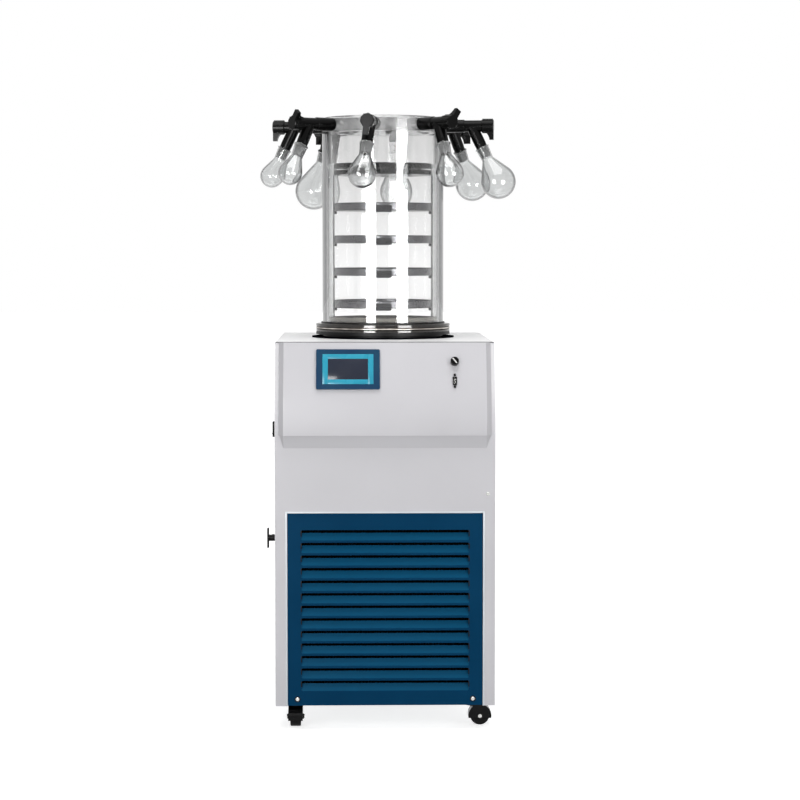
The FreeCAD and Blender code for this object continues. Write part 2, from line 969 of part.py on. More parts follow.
def panel_screws():
    front = front_y + louver_recess
    reach = pan_front + pan_sheet - front
    screws = [
        panel_screw(side * panel_screw_x, front, louver_panel_bottom + panel_screw_lift, -1, reach)
        for side in (-1, 1)
    ]
    screws.append(panel_screw(side_screw_x, front_y, side_screw_height, -1, screw_length))
    for x, z in back_screw_places():
        screws.append(panel_screw(x, back_y, z, 1, screw_length))
    return screws


# ---- casters ----
def caster_place(side, end):
    y = front_y + caster_front_inset if end < 0 else back_y - caster_back_inset
    return vec(side * caster_x, y, 0)


def caster_plate():
    top = caster_height
    low = top - caster_plate_thick
    half = caster_plate_side / 2
    plate = rounded_block((-half, half), (-half, half), (low, top), corner_radius, axis_z)
    race_low = low - caster_race_thick
    race = post(caster_race_radius, race_low, low)
    disc_low = race_low - body_gap - caster_disc_thick
    head_top = disc_low - body_gap
    pin = post(caster_king_radius, head_top - caster_king_head_thick, low)
    head = post(caster_king_head, head_top - caster_king_head_thick, head_top)
    return fused([plate, race, pin, head])


def caster_fork():
    """A closed hood over the wheel, drawn with its axle along X and trailing towards -Y."""
    disc_top = caster_height - caster_plate_thick - caster_race_thick - body_gap
    disc_low = disc_top - caster_disc_thick
    leg_in = wheel_width / 2 + fork_wheel_gap
    leg_out = leg_in + fork_wall
    axle_end = leg_out + axle_head_thick
    at = vec(0, -caster_trail, wheel_radius)

    def across(radius, reach):
        return rod(radius, at.sub(vec(reach, 0, 0)), at.add(vec(reach, 0, 0)))

    inner_radius = wheel_radius + fork_wheel_gap
    hood = across(inner_radius + hood_wall, leg_out).cut(across(inner_radius, leg_in))
    below = block(
        (-axle_end, axle_end), (-3 * wheel_radius, 2 * wheel_radius), (-past, hood_skirt)
    )
    pin_pocket = post(
        caster_king_head + body_gap, disc_low - 2 * body_gap - caster_king_head_thick, disc_low
    )
    disc = post(caster_race_radius + fork_wall, disc_low, disc_top)
    hole = post(caster_king_radius + running_gap, disc_low - past, disc_top + past)
    solid = fused([hood.cut(below).cut(pin_pocket), disc, across(axle_radius, axle_end)])
    solid = solid.cut(hole)
    heads = across(axle_head_radius, axle_end).cut(across(axle_head_radius + past, leg_out))
    return solid.fuse(heads.Solids).removeSplitter()


def caster_wheel():
    half = wheel_width / 2
    at = vec(0, -caster_trail, wheel_radius)
    tyre = rod(wheel_radius, at.add(vec(-half, 0, 0)), at.add(vec(half, 0, 0)))
    tyre = tyre.makeFillet(wheel_edge, [e for e in tyre.Edges if e.BoundBox.XLength < running_gap])
    past_ends = vec(half + past, 0, 0)
    return tyre.cut(rod(axle_radius + running_gap, at.sub(past_ends), at.add(past_ends)))


def save_casters():
    plates = []
    for number, (side, end, turn) in enumerate(casters, 1):
        place = caster_place(side, end)
        plate = caster_plate()
        plate.translate(place)
        plates.append(plate)
        for name, shape in (("caster_fork", caster_fork()), ("caster_wheel", caster_wheel())):
            shape.rotate(origin, axis_z, turn)
            shape.translate(place)
            save(name + "_" + str(number), shape)
    save("caster_plates", *plates)


# ---- power switch ----
def switch_bezel():
    """A frame on the left wall with a body behind it and a pocket for the rocker."""
    y = (switch_y - switch_wide / 2, switch_y + switch_wide / 2)
    z = (switch_height - switch_tall / 2, switch_height + switch_tall / 2)
    wall = -half_width
    frame = block((wall - switch_frame_thick, wall), y, z)
    in_y = (y[0] + switch_frame, y[1] - switch_frame)
    in_z = (z[0] + switch_frame, z[1] - switch_frame)
    body = block((wall, wall + switch_back_depth), in_y, in_z)
    pocket = block(
        (wall - switch_frame_thick - past, wall + switch_back_depth - switch_frame),
        (in_y[0] + switch_pocket_wall, in_y[1] - switch_pocket_wall),
        (in_z[0] + switch_pocket_wall, in_z[1] - switch_pocket_wall),
    )
    pivot = rod(
        switch_pivot_radius,
        vec(wall + switch_frame, in_y[0], switch_height),
        vec(wall + switch_frame, in_y[1], switch_height),
    )
    return frame.fuse(body).cut(pocket).fuse(pivot).removeSplitter()


def switch_rocker():
    """A dished cap that rocks on the pivot, resting with its lower end in."""
    half_tall = switch_tall / 2 - switch_frame - switch_pocket_wall - rocker_end_gap
    half_wide = switch_wide / 2 - switch_frame - switch_pocket_wall - body_gap
    outline = [
        vec(rocker_stand + switch_frame, 0, -half_tall),
        vec(rocker_stand + switch_frame - rocker_dish, 0, 0),
        vec(rocker_stand + switch_frame, 0, half_tall),
    ]
    curve = Part.Arc(*outline).toShape()
    low = vec(-rocker_root, 0, -half_tall / 2)
    high = vec(-rocker_root, 0, half_tall / 2)
    edges = [
        curve,
        Part.LineSegment(outline[2], vec(0, 0, half_tall)).toShape(),
        Part.LineSegment(vec(0, 0, half_tall), high).toShape(),
        Part.LineSegment(high, low).toShape(),
        Part.LineSegment(low, vec(0, 0, -half_tall)).toShape(),
        Part.LineSegment(vec(0, 0, -half_tall), outline[0]).toShape(),
    ]
    cap = Part.Face(Part.Wire(edges)).extrude(vec(0, 2 * half_wide, 0))
    cap.translate(vec(0, -half_wide, 0))
    bore = rod(
        switch_pivot_radius + running_gap, vec(0, -switch_wide, 0), vec(0, switch_wide, 0)
    )
    cap = cap.cut(bore)
    cap.rotate(origin, axis_z, 180)
    cap.rotate(origin, axis_y, rocker_tilt)
    cap.translate(vec(-half_width + switch_frame, switch_y, switch_height))
    return cap


# ---- drain valve ----
def drain_valve_body():
    wall = -half_width
    tip = wall - drain_stub_length
    at = vec(0, drain_y, drain_height)
    inside = wall + sheet + drain_body_length
    nozzle_at = at.add(vec(-drain_nozzle_at - half_width, 0, 0))
    nozzle_end = nozzle_at.add(vec(0, drain_collar_reach + drain_nozzle_length, 0))
    pieces = [
        rod(drain_stub_radius, at.add(vec(tip, 0, 0)), at.add(vec(wall + sheet, 0, 0))),
        rod(
            drain_body_radius,
            at.add(vec(wall + sheet, 0, 0)),
            at.add(vec(inside, 0, 0)),
        ),
        rod(
            drain_nut_radius,
            at.add(vec(wall - drain_nut_thick, 0, 0)),
            at.add(vec(wall, 0, 0)),
        ),
        rod(drain_collar_radius, nozzle_at, nozzle_at.add(vec(0, drain_collar_reach, 0))),
        rod(drain_nozzle_radius, nozzle_at, nozzle_end),
        rod(
            well_drain_radius - drain_hose_wall,
            at.add(vec(inside, 0, 0)),
            at.add(vec(inside + drain_nozzle_length, 0, 0)),
        ),
    ]
    bores = [
        rod(
            drain_stem_radius + running_gap,
            at.add(vec(tip - past, 0, 0)),
            at.add(vec(tip + drain_stem_depth, 0, 0)),
        ),
        rod(
            drain_bore_radius,
            at.add(vec(wall - drain_nozzle_at + drain_stub_radius, 0, 0)),
            at.add(vec(inside + drain_nozzle_length + past, 0, 0)),
        ),
        rod(
            drain_bore_radius,
            nozzle_at.add(vec(0, drain_stub_radius, 0)),
            nozzle_end.add(vec(0, past, 0)),
        ),
    ]
    return fused(pieces).cut(Part.makeCompound(bores))


def drain_valve_handle():
    tip = -half_width - drain_stub_length - body_gap
    at = vec(0, drain_y, drain_height)
    stem = rod(
        drain_stem_radius,
        at.add(vec(tip - drain_grip_thick, 0, 0)),
        at.add(vec(tip + drain_stem_length, 0, 0)),
    )
    hub = rod(
        drain_hub_radius,
        at.add(vec(tip - drain_grip_thick, 0, 0)),
        at.add(vec(tip, 0, 0)),
    )
    grip = rounded_block(
        (tip - drain_grip_thick, tip),
        (drain_y - drain_grip_wide / 2, drain_y + drain_grip_wide / 2),
        (drain_height - drain_grip_length / 2, drain_height + drain_grip_length / 2),
        drain_grip_thick / 2 - running_gap,
        axis_y,
    )
    return fused([stem, hub, grip])


# ---- rear ports ----
def power_inlet():
    x = inlet_x
    z = inlet_height
    flange = rounded_block(
        (x - inlet_flange_wide / 2, x + inlet_flange_wide / 2),
        (back_y, back_y + inlet_flange_thick),
        (z - inlet_flange_tall / 2, z + inlet_flange_tall / 2),
        corner_radius,
        axis_y,
    )
    body = block(
        (x - inlet_body_wide / 2, x + inlet_body_wide / 2),
        (back_y - inlet_body_depth, back_y + inlet_flange_thick / 2),
        (z - inlet_body_tall / 2, z + inlet_body_tall / 2),
    )
    floor = back_y + inlet_flange_thick - inlet_well_depth
    well = block(
        (x - inlet_well_wide / 2, x + inlet_well_wide / 2),
        (floor, back_y + past),
        (z - inlet_well_tall / 2, z + inlet_well_tall / 2),
    )
    pins = []
    for step, rise in ((-1, -1), (0, 1), (1, -1)):
        px = x + step * inlet_pin_spread
        pz = z + rise * inlet_pin_thick / 2
        pins.append(
            block(
                (px - inlet_pin_width / 2, px + inlet_pin_width / 2),
                (floor - inlet_flange_thick / 2, floor + inlet_pin_length),
                (pz - inlet_pin_thick / 2, pz + inlet_pin_thick / 2),
            )
        )
    return fused([fused([flange, body]).cut(well)] + pins)


def vacuum_line():
    """The pumping tube from the cold trap to a small clamp flange behind the cabinet."""
    outer = vacuum_outer
    end = back_y + vacuum_stand_out
    mouth = end - vacuum_flange_thick
    neck = mouth - vacuum_flange_taper
    at = vec(0, 0, vacuum_height)
    pieces = [
        rod(outer, at, at.add(vec(0, end, 0))),
        rod(vacuum_flange_radius, at.add(vec(0, mouth, 0)), at.add(vec(0, end, 0))),
        Part.makeCone(
            outer, vacuum_flange_radius, vacuum_flange_taper, at.add(vec(0, neck, 0)), axis_y
        ),
    ]
    cuts = [
        rod(vacuum_bore_radius, at, at.add(vec(0, end + past, 0))),
        rod(
            vacuum_recess_radius,
            at.add(vec(0, end - vacuum_recess_depth, 0)),
            at.add(vec(0, end + past, 0)),
        ),
        post(well_outer, vacuum_height - 2 * outer, vacuum_height + 2 * outer),
    ]
    tube = fused(pieces)
    for cut in cuts:
        tube = tube.cut(cut)
    return tube


# ---- cold trap ----
def cold_trap_well():
    wall = post(well_outer, well_floor - well_wall, cabinet_top)
    rim = post(well_rim_radius, cabinet_top - well_wall, cabinet_top)
    drain_low = well_floor - well_drain_length
    drain = post(well_drain_radius, drain_low, well_floor)
    solid = fused([wall, rim, drain])
    solid = solid.cut(post(well_radius, well_floor, cabinet_top + past))
    solid = solid.cut(post(well_drain_radius - well_wall, drain_low - past, well_floor + past))
    hole = rod(
        vacuum_bore_radius, vec(0, 0, vacuum_height), vec(0, well_outer + past, vacuum_height)
    )
    return solid.cut(hole)


def trap_insulation():
    block_top = cabinet_top - well_wall
    foam = post(insulation_radius, insulation_bottom, block_top)
    foam = foam.cut(post(insulation_bore, well_floor - well_wall, block_top + past))
    cuts = [post(well_drain_radius, insulation_bottom - past, well_floor)]
    cuts.append(
        rod(
            vacuum_outer,
            vec(0, well_outer - past, vacuum_height),
            vec(0, insulation_radius + past, vacuum_height),
        )
    )
    cuts.append(
        post(coil_tube_radius, insulation_bottom - past, coil_bottom, coil_radius)
    )
    cuts.append(
        rod(
            coil_tube_radius,
            vec(-coil_radius, 0, coil_top),
            vec(-insulation_radius - past, 0, coil_top),
        )
    )
    return foam.cut(Part.makeCompound(cuts))


def trap_plate():
    return ring(trap_plate_radius, well_radius, cabinet_top, trap_plate_top)


# ---- drum ----
def drum():
    tube = post(drum_radius, drum_bottom, drum_top)
    flange_top = drum_bottom + drum_flange_thick
    flange = post(drum_flange_radius, drum_bottom, flange_top)
    flange = flange.makeFillet(
        drum_flange_edge, edges_at_height(flange, flange_top) + edges_at_height(flange, drum_bottom)
    )
    solid = fused([tube, flange])
    return solid.cut(post(drum_bore, drum_bottom - past, drum_top + past))


def drum_seals():
    seat = ring(seat_gasket_outer, seat_gasket_inner, trap_plate_top, drum_bottom)
    lip_low = drum_bottom + drum_flange_thick
    lip = ring(
        drum_radius + lip_ring_width,
        drum_radius + drop_in_gap,
        lip_low,
        lip_low + lip_ring_thick,
    )
    return seat, lip


# ---- manifold ----
def manifold_head():
    body = post(drum_radius, drum_top, head_top)
    body = body.makeChamfer(head_edge, edges_at_height(body, head_top))
    body = body.cut(post(drum_radius - head_wall, drum_top - past, head_top + past))
    bores = []
    for number in range(port_count):
        inner = vec(drum_radius - head_wall - past, 0, valve_height)
        bore = rod(port_radius, inner, vec(drum_radius + past, 0, valve_height))
        bores.append(turned(bore, number))
    return body.cut(Part.makeCompound(bores))


def manifold_lid():
    lid = post(lid_radius, head_top, head_top + lid_thick)
    return lid.makeFillet(lid_edge, edges_at_height(lid, head_top + lid_thick))


def turned(shape, number):
    """Turn a piece drawn along +X to its port round the manifold."""
    placed = shape.copy()
    angle = -90.0 + first_port_angle + number * 360.0 / port_count
    placed.rotate(origin, axis_z, angle)
    return placed


def rolled(shape, number):
    """Roll a branch, or the flask on it, about its valve's tube."""
    placed = shape.copy()
    placed.rotate(vec(0, 0, valve_height), axis_x, branch_rolls[number])
    return placed


def branch_point(distance):
    """A point on the branch's axis, drawn along +X, before it is rolled."""
    tilt = math.radians(branch_tilt)
    x = drum_radius + branch_at + distance * math.sin(tilt)
    return vec(x, 0, valve_height - distance * math.cos(tilt))


def valve_body(number):
    start = drum_radius + valve_start
    sleeve_end = start + valve_sleeve_length
    end = drum_radius + valve_end
    height = vec(0, 0, valve_height)

    def along(x):
        return height.add(vec(x, 0, 0))

    sleeve = rod(valve_sleeve_radius, along(start), along(sleeve_end))
    sleeve = sleeve.makeFillet(
        valve_round, [e for e in sleeve.Edges if e.BoundBox.XLength < running_gap]
    )
    spigot_start = start - valve_start - valve_spigot_length
    branch_way = branch_point(1).sub(branch_point(0))
    stopper_start = branch_point(flask_rim_at)
    stopper_tip = stopper_radius - joint_taper * stopper_length / joint_length
    pieces = [
        sleeve,
        rod(port_radius - drop_in_gap, along(spigot_start), along(start + past)),
        rod(valve_tube_radius, along(start + past), along(end)),
    ]
    branch = [
        rod(branch_radius, branch_point(0), branch_point(branch_neck_at)),
        Part.makeCone(
            branch_radius,
            stopper_radius,
            flask_rim_at - branch_neck_at,
            branch_point(branch_neck_at),
            branch_way,
        ),
        Part.makeCone(
            stopper_radius, stopper_tip, stopper_length, stopper_start, branch_way
        ),
    ]
    pieces += [rolled(piece, number) for piece in branch]
    bore_end = end - knob_stem_length - body_gap
    cuts = [
        rod(knob_stem_radius + running_gap, along(bore_end), along(end + past)),
        rod(valve_passage_radius, along(spigot_start - past), along(bore_end + past)),
        rolled(
            rod(
                valve_passage_radius,
                branch_point(0),
                branch_point(flask_rim_at + stopper_length + past),
            ),
            number,
        ),
    ]
    solid = fused(pieces)
    for cut in cuts:
        solid = solid.cut(cut)
    return solid


def valve_knob(lever_turn):
    start = drum_radius + valve_end + body_gap
    end = start + knob_length
    stem_start = start - body_gap - knob_stem_length
    cap = rod(knob_radius, vec(start, 0, 0), vec(end, 0, 0))
    cap = cap.makeChamfer(knob_edge, [e for e in cap.Edges if e.BoundBox.XLength < running_gap])
    stem = rod(knob_stem_radius, vec(stem_start, 0, 0), vec(start + past, 0, 0))
    tip_start = end - lever_tip_thick
    root_start = end - lever_root_thick
    half = lever_width / 2
    knee = vec(tip_start - lever_bow, -half, -(lever_reach + knob_radius) / 2)
    edges = [
        Part.LineSegment(vec(end, -half, 0), vec(end, -half, -lever_reach)).toShape(),
        Part.LineSegment(
            vec(end, -half, -lever_reach), vec(tip_start, -half, -lever_reach)
        ).toShape(),
        Part.Arc(
            vec(tip_start, -half, -lever_reach),
            knee,
            vec(root_start, -half, -knob_radius + knob_edge),
        ).toShape(),
        Part.LineSegment(
            vec(root_start, -half, -knob_radius + knob_edge), vec(root_start, -half, 0)
        ).toShape(),
        Part.LineSegment(vec(root_start, -half, 0), vec(end, -half, 0)).toShape(),
    ]
    lever = Part.Face(Part.Wire(edges)).extrude(vec(0, lever_width, 0))
    pieces = [cap, stem, lever]
    rib_end = end - knob_edge
    for number in range(knob_rib_count):
        angle = 360.0 * number / knob_rib_count
        rib = rod(
            knob_rib_radius, vec(start + knob_edge, 0, knob_radius), vec(rib_end, 0, knob_radius)
        )
        rib.rotate(origin, axis_x, angle)
        pieces.append(rib)
    knob = fused(pieces)
    knob.rotate(origin, axis_x, lever_turn)
    knob.translate(vec(0, 0, valve_height))
    return knob


# ---- flasks ----
def flask_outline(inset, bulb_radius, length):
    """Half of the flask's outline as (radius, distance from the rim) points.

    The neck runs straight, a small blend turns it into a cone, and the cone
    meets the round bulb tangentially. The inner face lies a wall further in.
    """
    neck_outer = stopper_radius + body_gap + flask_wall - joint_taper
    centre = length - bulb_radius
    drop = centre - flask_neck_end
    cone = math.asin(bulb_radius / math.hypot(neck_outer, drop)) - math.atan2(neck_outer, drop)
    radius = bulb_radius - inset
    neck = neck_outer - inset
    knee = centre - (radius - neck * math.cos(cone)) / math.sin(cone)
    blend = flask_neck_blend + inset
    cut = blend * math.tan(cone / 2)
    blend_mid = (neck + blend * (1 - math.cos(cone / 2)), knee - cut + blend * math.sin(cone / 2))
    side_turn = (math.pi / 2 - cone) / 2
    return {
        "neck_top": neck + joint_taper,
        "neck_low": neck,
        "blend_start": (neck, knee - cut),
        "blend_middle": blend_mid,
        "blend_end": (neck + cut * math.sin(cone), knee + cut * math.cos(cone)),
        "meet": (radius * math.cos(cone), centre - radius * math.sin(cone)),
        "side": (radius * math.cos(side_turn), centre + radius * math.sin(side_turn)),
        "bottom": (0.0, centre + radius),
    }


def flask(bulb_diameter, length):
    """A rimmed pear-shaped flask, drawn hanging from the origin down -Z."""
    outer = flask_outline(0, bulb_diameter / 2, length)
    inner = flask_outline(flask_wall, bulb_diameter / 2, length)

    def at(pair):
        return vec(pair[0], 0, -pair[1])

    def line(first, second):
        return Part.LineSegment(at(first), at(second)).toShape()

    def arc(first, second, third):
        return Part.Arc(at(first), at(second), at(third)).toShape()

    rim_foot = flask_rim_tall
    edges = [
        line((inner["neck_top"], 0), (flask_rim_radius, 0)),
        line((flask_rim_radius, 0), (flask_rim_radius, rim_foot)),
        line((flask_rim_radius, rim_foot), (outer["neck_top"], rim_foot)),
        line((outer["neck_top"], rim_foot), (outer["neck_low"], joint_length)),
        line((outer["neck_low"], joint_length), outer["blend_start"]),
        arc(outer["blend_start"], outer["blend_middle"], outer["blend_end"]),
        line(outer["blend_end"], outer["meet"]),
        arc(outer["meet"], outer["side"], outer["bottom"]),
        line(outer["bottom"], inner["bottom"]),
        arc(inner["bottom"], inner["side"], inner["meet"]),
        line(inner["meet"], inner["blend_end"]),
        arc(inner["blend_end"], inner["blend_middle"], inner["blend_start"]),
        line(inner["blend_start"], (inner["neck_low"], joint_length)),
        line((inner["neck_low"], joint_length), (inner["neck_top"], 0)),
    ]
    face = Part.Face(Part.Wire(edges))
    solid = face.revolve(origin, axis_z, 360)
    solid = Part.makeSolid(solid) if solid.ShapeType == "Shell" else solid
    solid.rotate(origin, axis_y, -branch_tilt)
    solid.translate(branch_point(flask_rim_at))
    return solid


def save_manifold():
    bodies = []
    for number in range(port_count):
        bodies.append(turned(valve_body(number), number))
        name = str(number + 1)
        save("valve_knob_" + name, turned(valve_knob(lever_turns[number]), number))
        bulb, length = flask_sizes[number]
        save("flask_" + name, turned(rolled(flask(bulb, length), number), number))
    save("valve_bodies", *bodies)


# ---- drying rack ----
def tray_bottom(number):
    return cabinet_top + first_tray_lift + number * tray_pitch


def rack_frame():
    base_low = cabinet_top + rack_base_lift
    base_top = base_low + rack_base_thick
    base = ring(rack_base_radius, rack_base_hole, base_low, base_top)
    pieces = [base]
    for number in range(rack_foot_count):
        foot = post(rack_foot_radius, trap_plate_top, base_low, rack_foot_ring)
        foot.rotate(origin, axis_z, 360.0 * number / rack_foot_count + 90.0)
        pieces.append(foot)
    post_top = cabinet_top + cap_lift + 2 * cap_disc_thick + cap_gap
    inner = tray_radius + body_gap
    for side in (-1, 1):
        x = sorted((side * inner, side * (inner + post_thick)))
        upright = block(x, (-post_width / 2, post_width / 2), (base_low, post_top))
        pieces.append(upright)
        for number in range(tray_count):
            height = tray_bottom(number) - peg_radius
            pieces.append(
                rod(
                    peg_radius,
                    vec(side * (inner + post_thick / 2), 0, height),
                    vec(side * (inner - peg_length), 0, height),
                )
            )
    outer_limit = post(drum_bore - body_gap, trap_plate_top, post_top)
    return fused(pieces).common(outer_limit)


def rack_caps():
    low = cabinet_top + cap_lift
    second = low + cap_disc_thick + cap_gap
    pieces = [
        post(tray_radius + body_gap, low, low + cap_disc_thick),
        post(tray_radius + body_gap, second, second + cap_disc_thick),
    ]
    for number in range(rack_foot_count):
        pin = post(cap_pin_radius, low, second + cap_disc_thick, cap_pin_ring)
        pin.rotate(origin, axis_z, 360.0 * number / rack_foot_count)
        pieces.append(pin)
    return fused(pieces)


def tray(number):
    low = tray_bottom(number)
    top = low + tray_tall
    dish = post(tray_radius, low, top)
    dish = dish.makeFillet(2 * tray_wall, edges_at_height(dish, low))
    hollow = post(tray_radius - tray_wall, low + tray_wall, top + past)
    hollow = hollow.makeFillet(tray_wall, edges_at_height(hollow, low + tray_wall))
    tab_top = top - tray_tab_drop
    tab = block(
        (-tray_tab_width / 2, tray_tab_width / 2),
        (-tray_radius - tray_tab_reach, -tray_radius + tray_wall / 2),
        (tab_top - tray_wall, tab_top),
    )
    lip_front = -tray_radius - tray_tab_reach
    lip = block(
        (-tray_tab_width / 2, tray_tab_width / 2),
        (lip_front, lip_front + tray_wall),
        (low - tray_lip_drop, tab_top),
    )
    return fused([dish.cut(hollow), tab.cut(post(tray_radius - tray_wall / 2, low, top)), lip])


# ---- machinery in the cabinet ----
def condenser():
    half = condenser_width / 2
    y = (condenser_front, condenser_back)
    z = (condenser_bottom, condenser_top)
    pieces = []
    for side in (-1, 1):
        x = sorted((side * half, side * (half - end_plate_thick)))
        pieces.append(block(x, y, (z[0] - condenser_lift, z[1])))
    step = (condenser_width - 2 * end_plate_thick) / (fin_count + 1)
    for number in range(fin_count):
        x = -half + end_plate_thick + (number + 1) * step
        pieces.append(block((x - fin_thick / 2, x + fin_thick / 2), y, z))
    row_step = condenser_tall / tube_rows
    middle = (y[0] + y[1]) / 2
    for row in range(tube_rows):
        height = z[0] + (row + 1 / 2) * row_step
        pieces.append(rod(tube_radius, vec(-half, middle, height), vec(half, middle, height)))
    return fused(pieces + condenser_headers(middle, z[1]))


def condenser_headers(middle, top):
    """The inlet and outlet stubs that rise from the top tube row."""
    row_step = condenser_tall / tube_rows
    top_row = top - row_step / 2
    x = header_x()
    return [post(tube_radius, top_row, top + line_bend, side * x, middle) for side in (-1, 1)]


def header_x():
    return condenser_width / 2 - 2 * tube_radius - end_plate_thick - line_bend


def fan_shroud():
    half = condenser_width / 2
    y = (shroud_front, shroud_front + shroud_sheet)
    opening = fan_radius + fan_tip_gap
    plate = block((-half, half), y, (pan_top, condenser_top))
    centre = vec(0, 0, fan_height)
    ring_back = shroud_front + fan_ring_depth
    duct = rod(opening + shroud_sheet, centre.add(vec(0, y[0], 0)), centre.add(vec(0, ring_back, 0)))
    hole = rod(opening, centre.add(vec(0, y[0] - past, 0)), centre.add(vec(0, ring_back + past, 0)))
    pieces = [fused([plate, duct]).cut(hole)]
    arm = block(
        (-opening - shroud_sheet, opening + shroud_sheet),
        (ring_back, ring_back + motor_arm_thick),
        (fan_height - motor_arm_width / 2, fan_height + motor_arm_width / 2),
    )
    pieces.append(arm)
    upright = arm.copy()
    upright.rotate(centre, axis_y, 90)
    pieces.append(upright)
    pieces.append(
        rod(
            motor_radius,
            centre.add(vec(0, motor_front, 0)),
            centre.add(vec(0, motor_front + motor_length, 0)),
        )
    )
    shaft_tip = motor_front - motor_arm_thick - fan_hub_length - body_gap
    pieces.append(
        rod(fan_shaft_radius, centre.add(vec(0, shaft_tip, 0)), centre.add(vec(0, motor_front, 0)))
    )
    return fused(pieces)


def fan_rotor():
    hub_back = motor_front - motor_arm_thick - body_gap
    hub_front = hub_back - fan_hub_length
    centre = vec(0, 0, fan_height)
    hub = rod(fan_hub_radius, centre.add(vec(0, hub_front, 0)), centre.add(vec(0, hub_back, 0)))
    pieces = [hub]
    middle = (hub_front + hub_back) / 2
    reach = fan_radius
    for number in range(fan_blade_count):
        blade = block(
            (-fan_blade_width / 2, fan_blade_width / 2),
            (-fan_blade_thick / 2, fan_blade_thick / 2),
            (0, reach),
        )
        blade.rotate(origin, axis_z, fan_blade_pitch)
        blade.rotate(origin, axis_y, 360.0 * number / fan_blade_count)
        blade.translate(vec(0, middle, fan_height))
        pieces.append(blade)
    limit = rod(reach, centre.add(vec(0, hub_front, 0)), centre.add(vec(0, hub_back, 0)))
    bore = rod(
        fan_shaft_radius + running_gap,
        centre.add(vec(0, hub_front - past, 0)),
        centre.add(vec(0, hub_back + past, 0)),
    )
    return fused(pieces).common(limit).cut(bore)


def compressor():
    x = compressor_x
    y = compressor_y
    low = compressor_shell_bottom
    top = low + compressor_tall
    shell = post(compressor_radius, low, top, x, y)
    shell = shell.makeFillet(compressor_round, edges_at_height(shell, top))
    belt_low = (low + top) / 2
    belt = post(compressor_radius + compressor_belt, belt_low, belt_low + compressor_belt, x, y)
    half = compressor_foot_side / 2
    foot_low = low - compressor_foot_thick
    foot = rounded_block(
        (x - half, x + half), (y - half, y + half), (foot_low, low), corner_radius, axis_z
    )
    pieces = [shell, belt, foot]
    corner = half - compressor_mount_radius
    for sx in (-1, 1):
        for sy in (-1, 1):
            pieces.append(
                post(
                    compressor_mount_radius, pan_top, foot_low, x + sx * corner, y + sy * corner
                )
            )
    for px, py in compressor_ports():
        pieces.append(
            post(compressor_port_radius, (low + top) / 2, compressor_port_top, px, py)
        )
    return fused(pieces)


def compressor_ports():
    suction = (compressor_x + suction_x, compressor_y)
    discharge = (compressor_x + discharge_x, compressor_y + discharge_y)
    return suction, discharge


def evaporator_coil():
    """The helical tube round the well, with its two tails led out through the foam."""
    helix = Part.makeHelix(coil_pitch, coil_pitch * coil_turns, coil_radius)
    start = vec(coil_radius, 0, 0)
    rise = coil_pitch / (2 * math.pi * coil_radius)
    circle = Part.Wire(Part.Circle(start, vec(0, 1, rise), coil_tube_radius).toShape())
    coil = Part.Wire(helix.Edges).makePipeShell([circle], True, True)
    coil.translate(vec(0, 0, coil_bottom))
    foot = vec(coil_radius, 0, coil_bottom)
    head = vec(-coil_radius, 0, coil_top)
    tail = rod(coil_tube_radius, foot, vec(coil_radius, 0, insulation_bottom - line_bend))
    side_tail = rod(coil_tube_radius, head, vec(drier_x - line_bend, 0, coil_top))
    elbow = Part.makeSphere(coil_tube_radius, foot)
    side_elbow = Part.makeSphere(coil_tube_radius, head)
    return coil.fuse([tail, side_tail, elbow, side_elbow])


def refrigerant_lines():
    suction, discharge = compressor_ports()
    middle = (condenser_front + condenser_back) / 2
    header = header_x()
    header_top = condenser_top + line_bend
    coil_tail = insulation_bottom - line_bend
    suction_line = [
        vec(coil_radius, 0, coil_tail),
        vec(coil_radius, 0, line_high + 2 * line_bend),
        vec(suction[0], suction[1], line_high),
        vec(suction[0], suction[1], compressor_port_top),
    ]
    discharge_line = [
        vec(discharge[0], discharge[1], compressor_port_top),
        vec(discharge[0], discharge[1], line_high),
        vec(header, middle, line_high),
        vec(header, middle, header_top),
    ]
    drier_front = drain_y + 4 * line_bend
    drier_back = drier_front + drier_length
    liquid_in = [
        vec(-header, middle, header_top),
        vec(-header, middle, liquid_high + line_bend),
        vec(drier_x, drier_front - 2 * line_bend, liquid_high),
        vec(drier_x, drier_front, liquid_high),
    ]
    liquid_out = [
        vec(drier_x, drier_back, liquid_high),
        vec(drier_x, 0, liquid_high),
        vec(drier_x - line_bend, 0, coil_top - coil_tube_radius),
    ]
    drier = rod(
        drier_radius, vec(drier_x, drier_front, liquid_high), vec(drier_x, drier_back, liquid_high)
    )
    drier = drier.makeFillet(
        drier_radius / 2, [e for e in drier.Edges if e.BoundBox.YLength < running_gap]
    )
    runs = (suction_line, discharge_line, liquid_in, liquid_out)
    lines = [swept_round(bent_path(points, line_bend), line_radius) for points in runs]
    return lines + [drier]


def control_box():
    x = (half_width - sheet - control_box_width, half_width - sheet)
    y = (front_y + control_box_behind_front, front_y + control_box_behind_front + control_box_depth)
    z = (control_box_height, control_box_height + control_box_tall)
    case = rounded_block(x, y, z, corner_radius, axis_z)
    lid = block(
        (x[0] - control_lid_lip, x[1]),
        (y[0] - control_lid_lip, y[1] + control_lid_lip),
        (z[1], z[1] + control_lid_thick),
    )
    return fused([case, lid])


def drain_line():
    """A silicone hose from the well's drain stub to the valve inside the left wall."""
    inside = -half_width + sheet + drain_body_length
    low = well_floor - well_drain_length
    points = [
        vec(0, 0, low + drain_hose_grip),
        vec(0, 0, drain_hose_low),
        vec(inside + 3 * drain_hose_bend, drain_y, drain_height),
        vec(inside + body_gap, drain_y, drain_height),
    ]
    path = bent_path(points, drain_hose_bend)
    hose = swept_round(path, well_drain_radius + drain_hose_wall)
    hose = hose.cut(swept_round(path, well_drain_radius - drain_hose_wall))
    return hose.cut(post(well_drain_radius, low, low + drain_hose_grip + past))


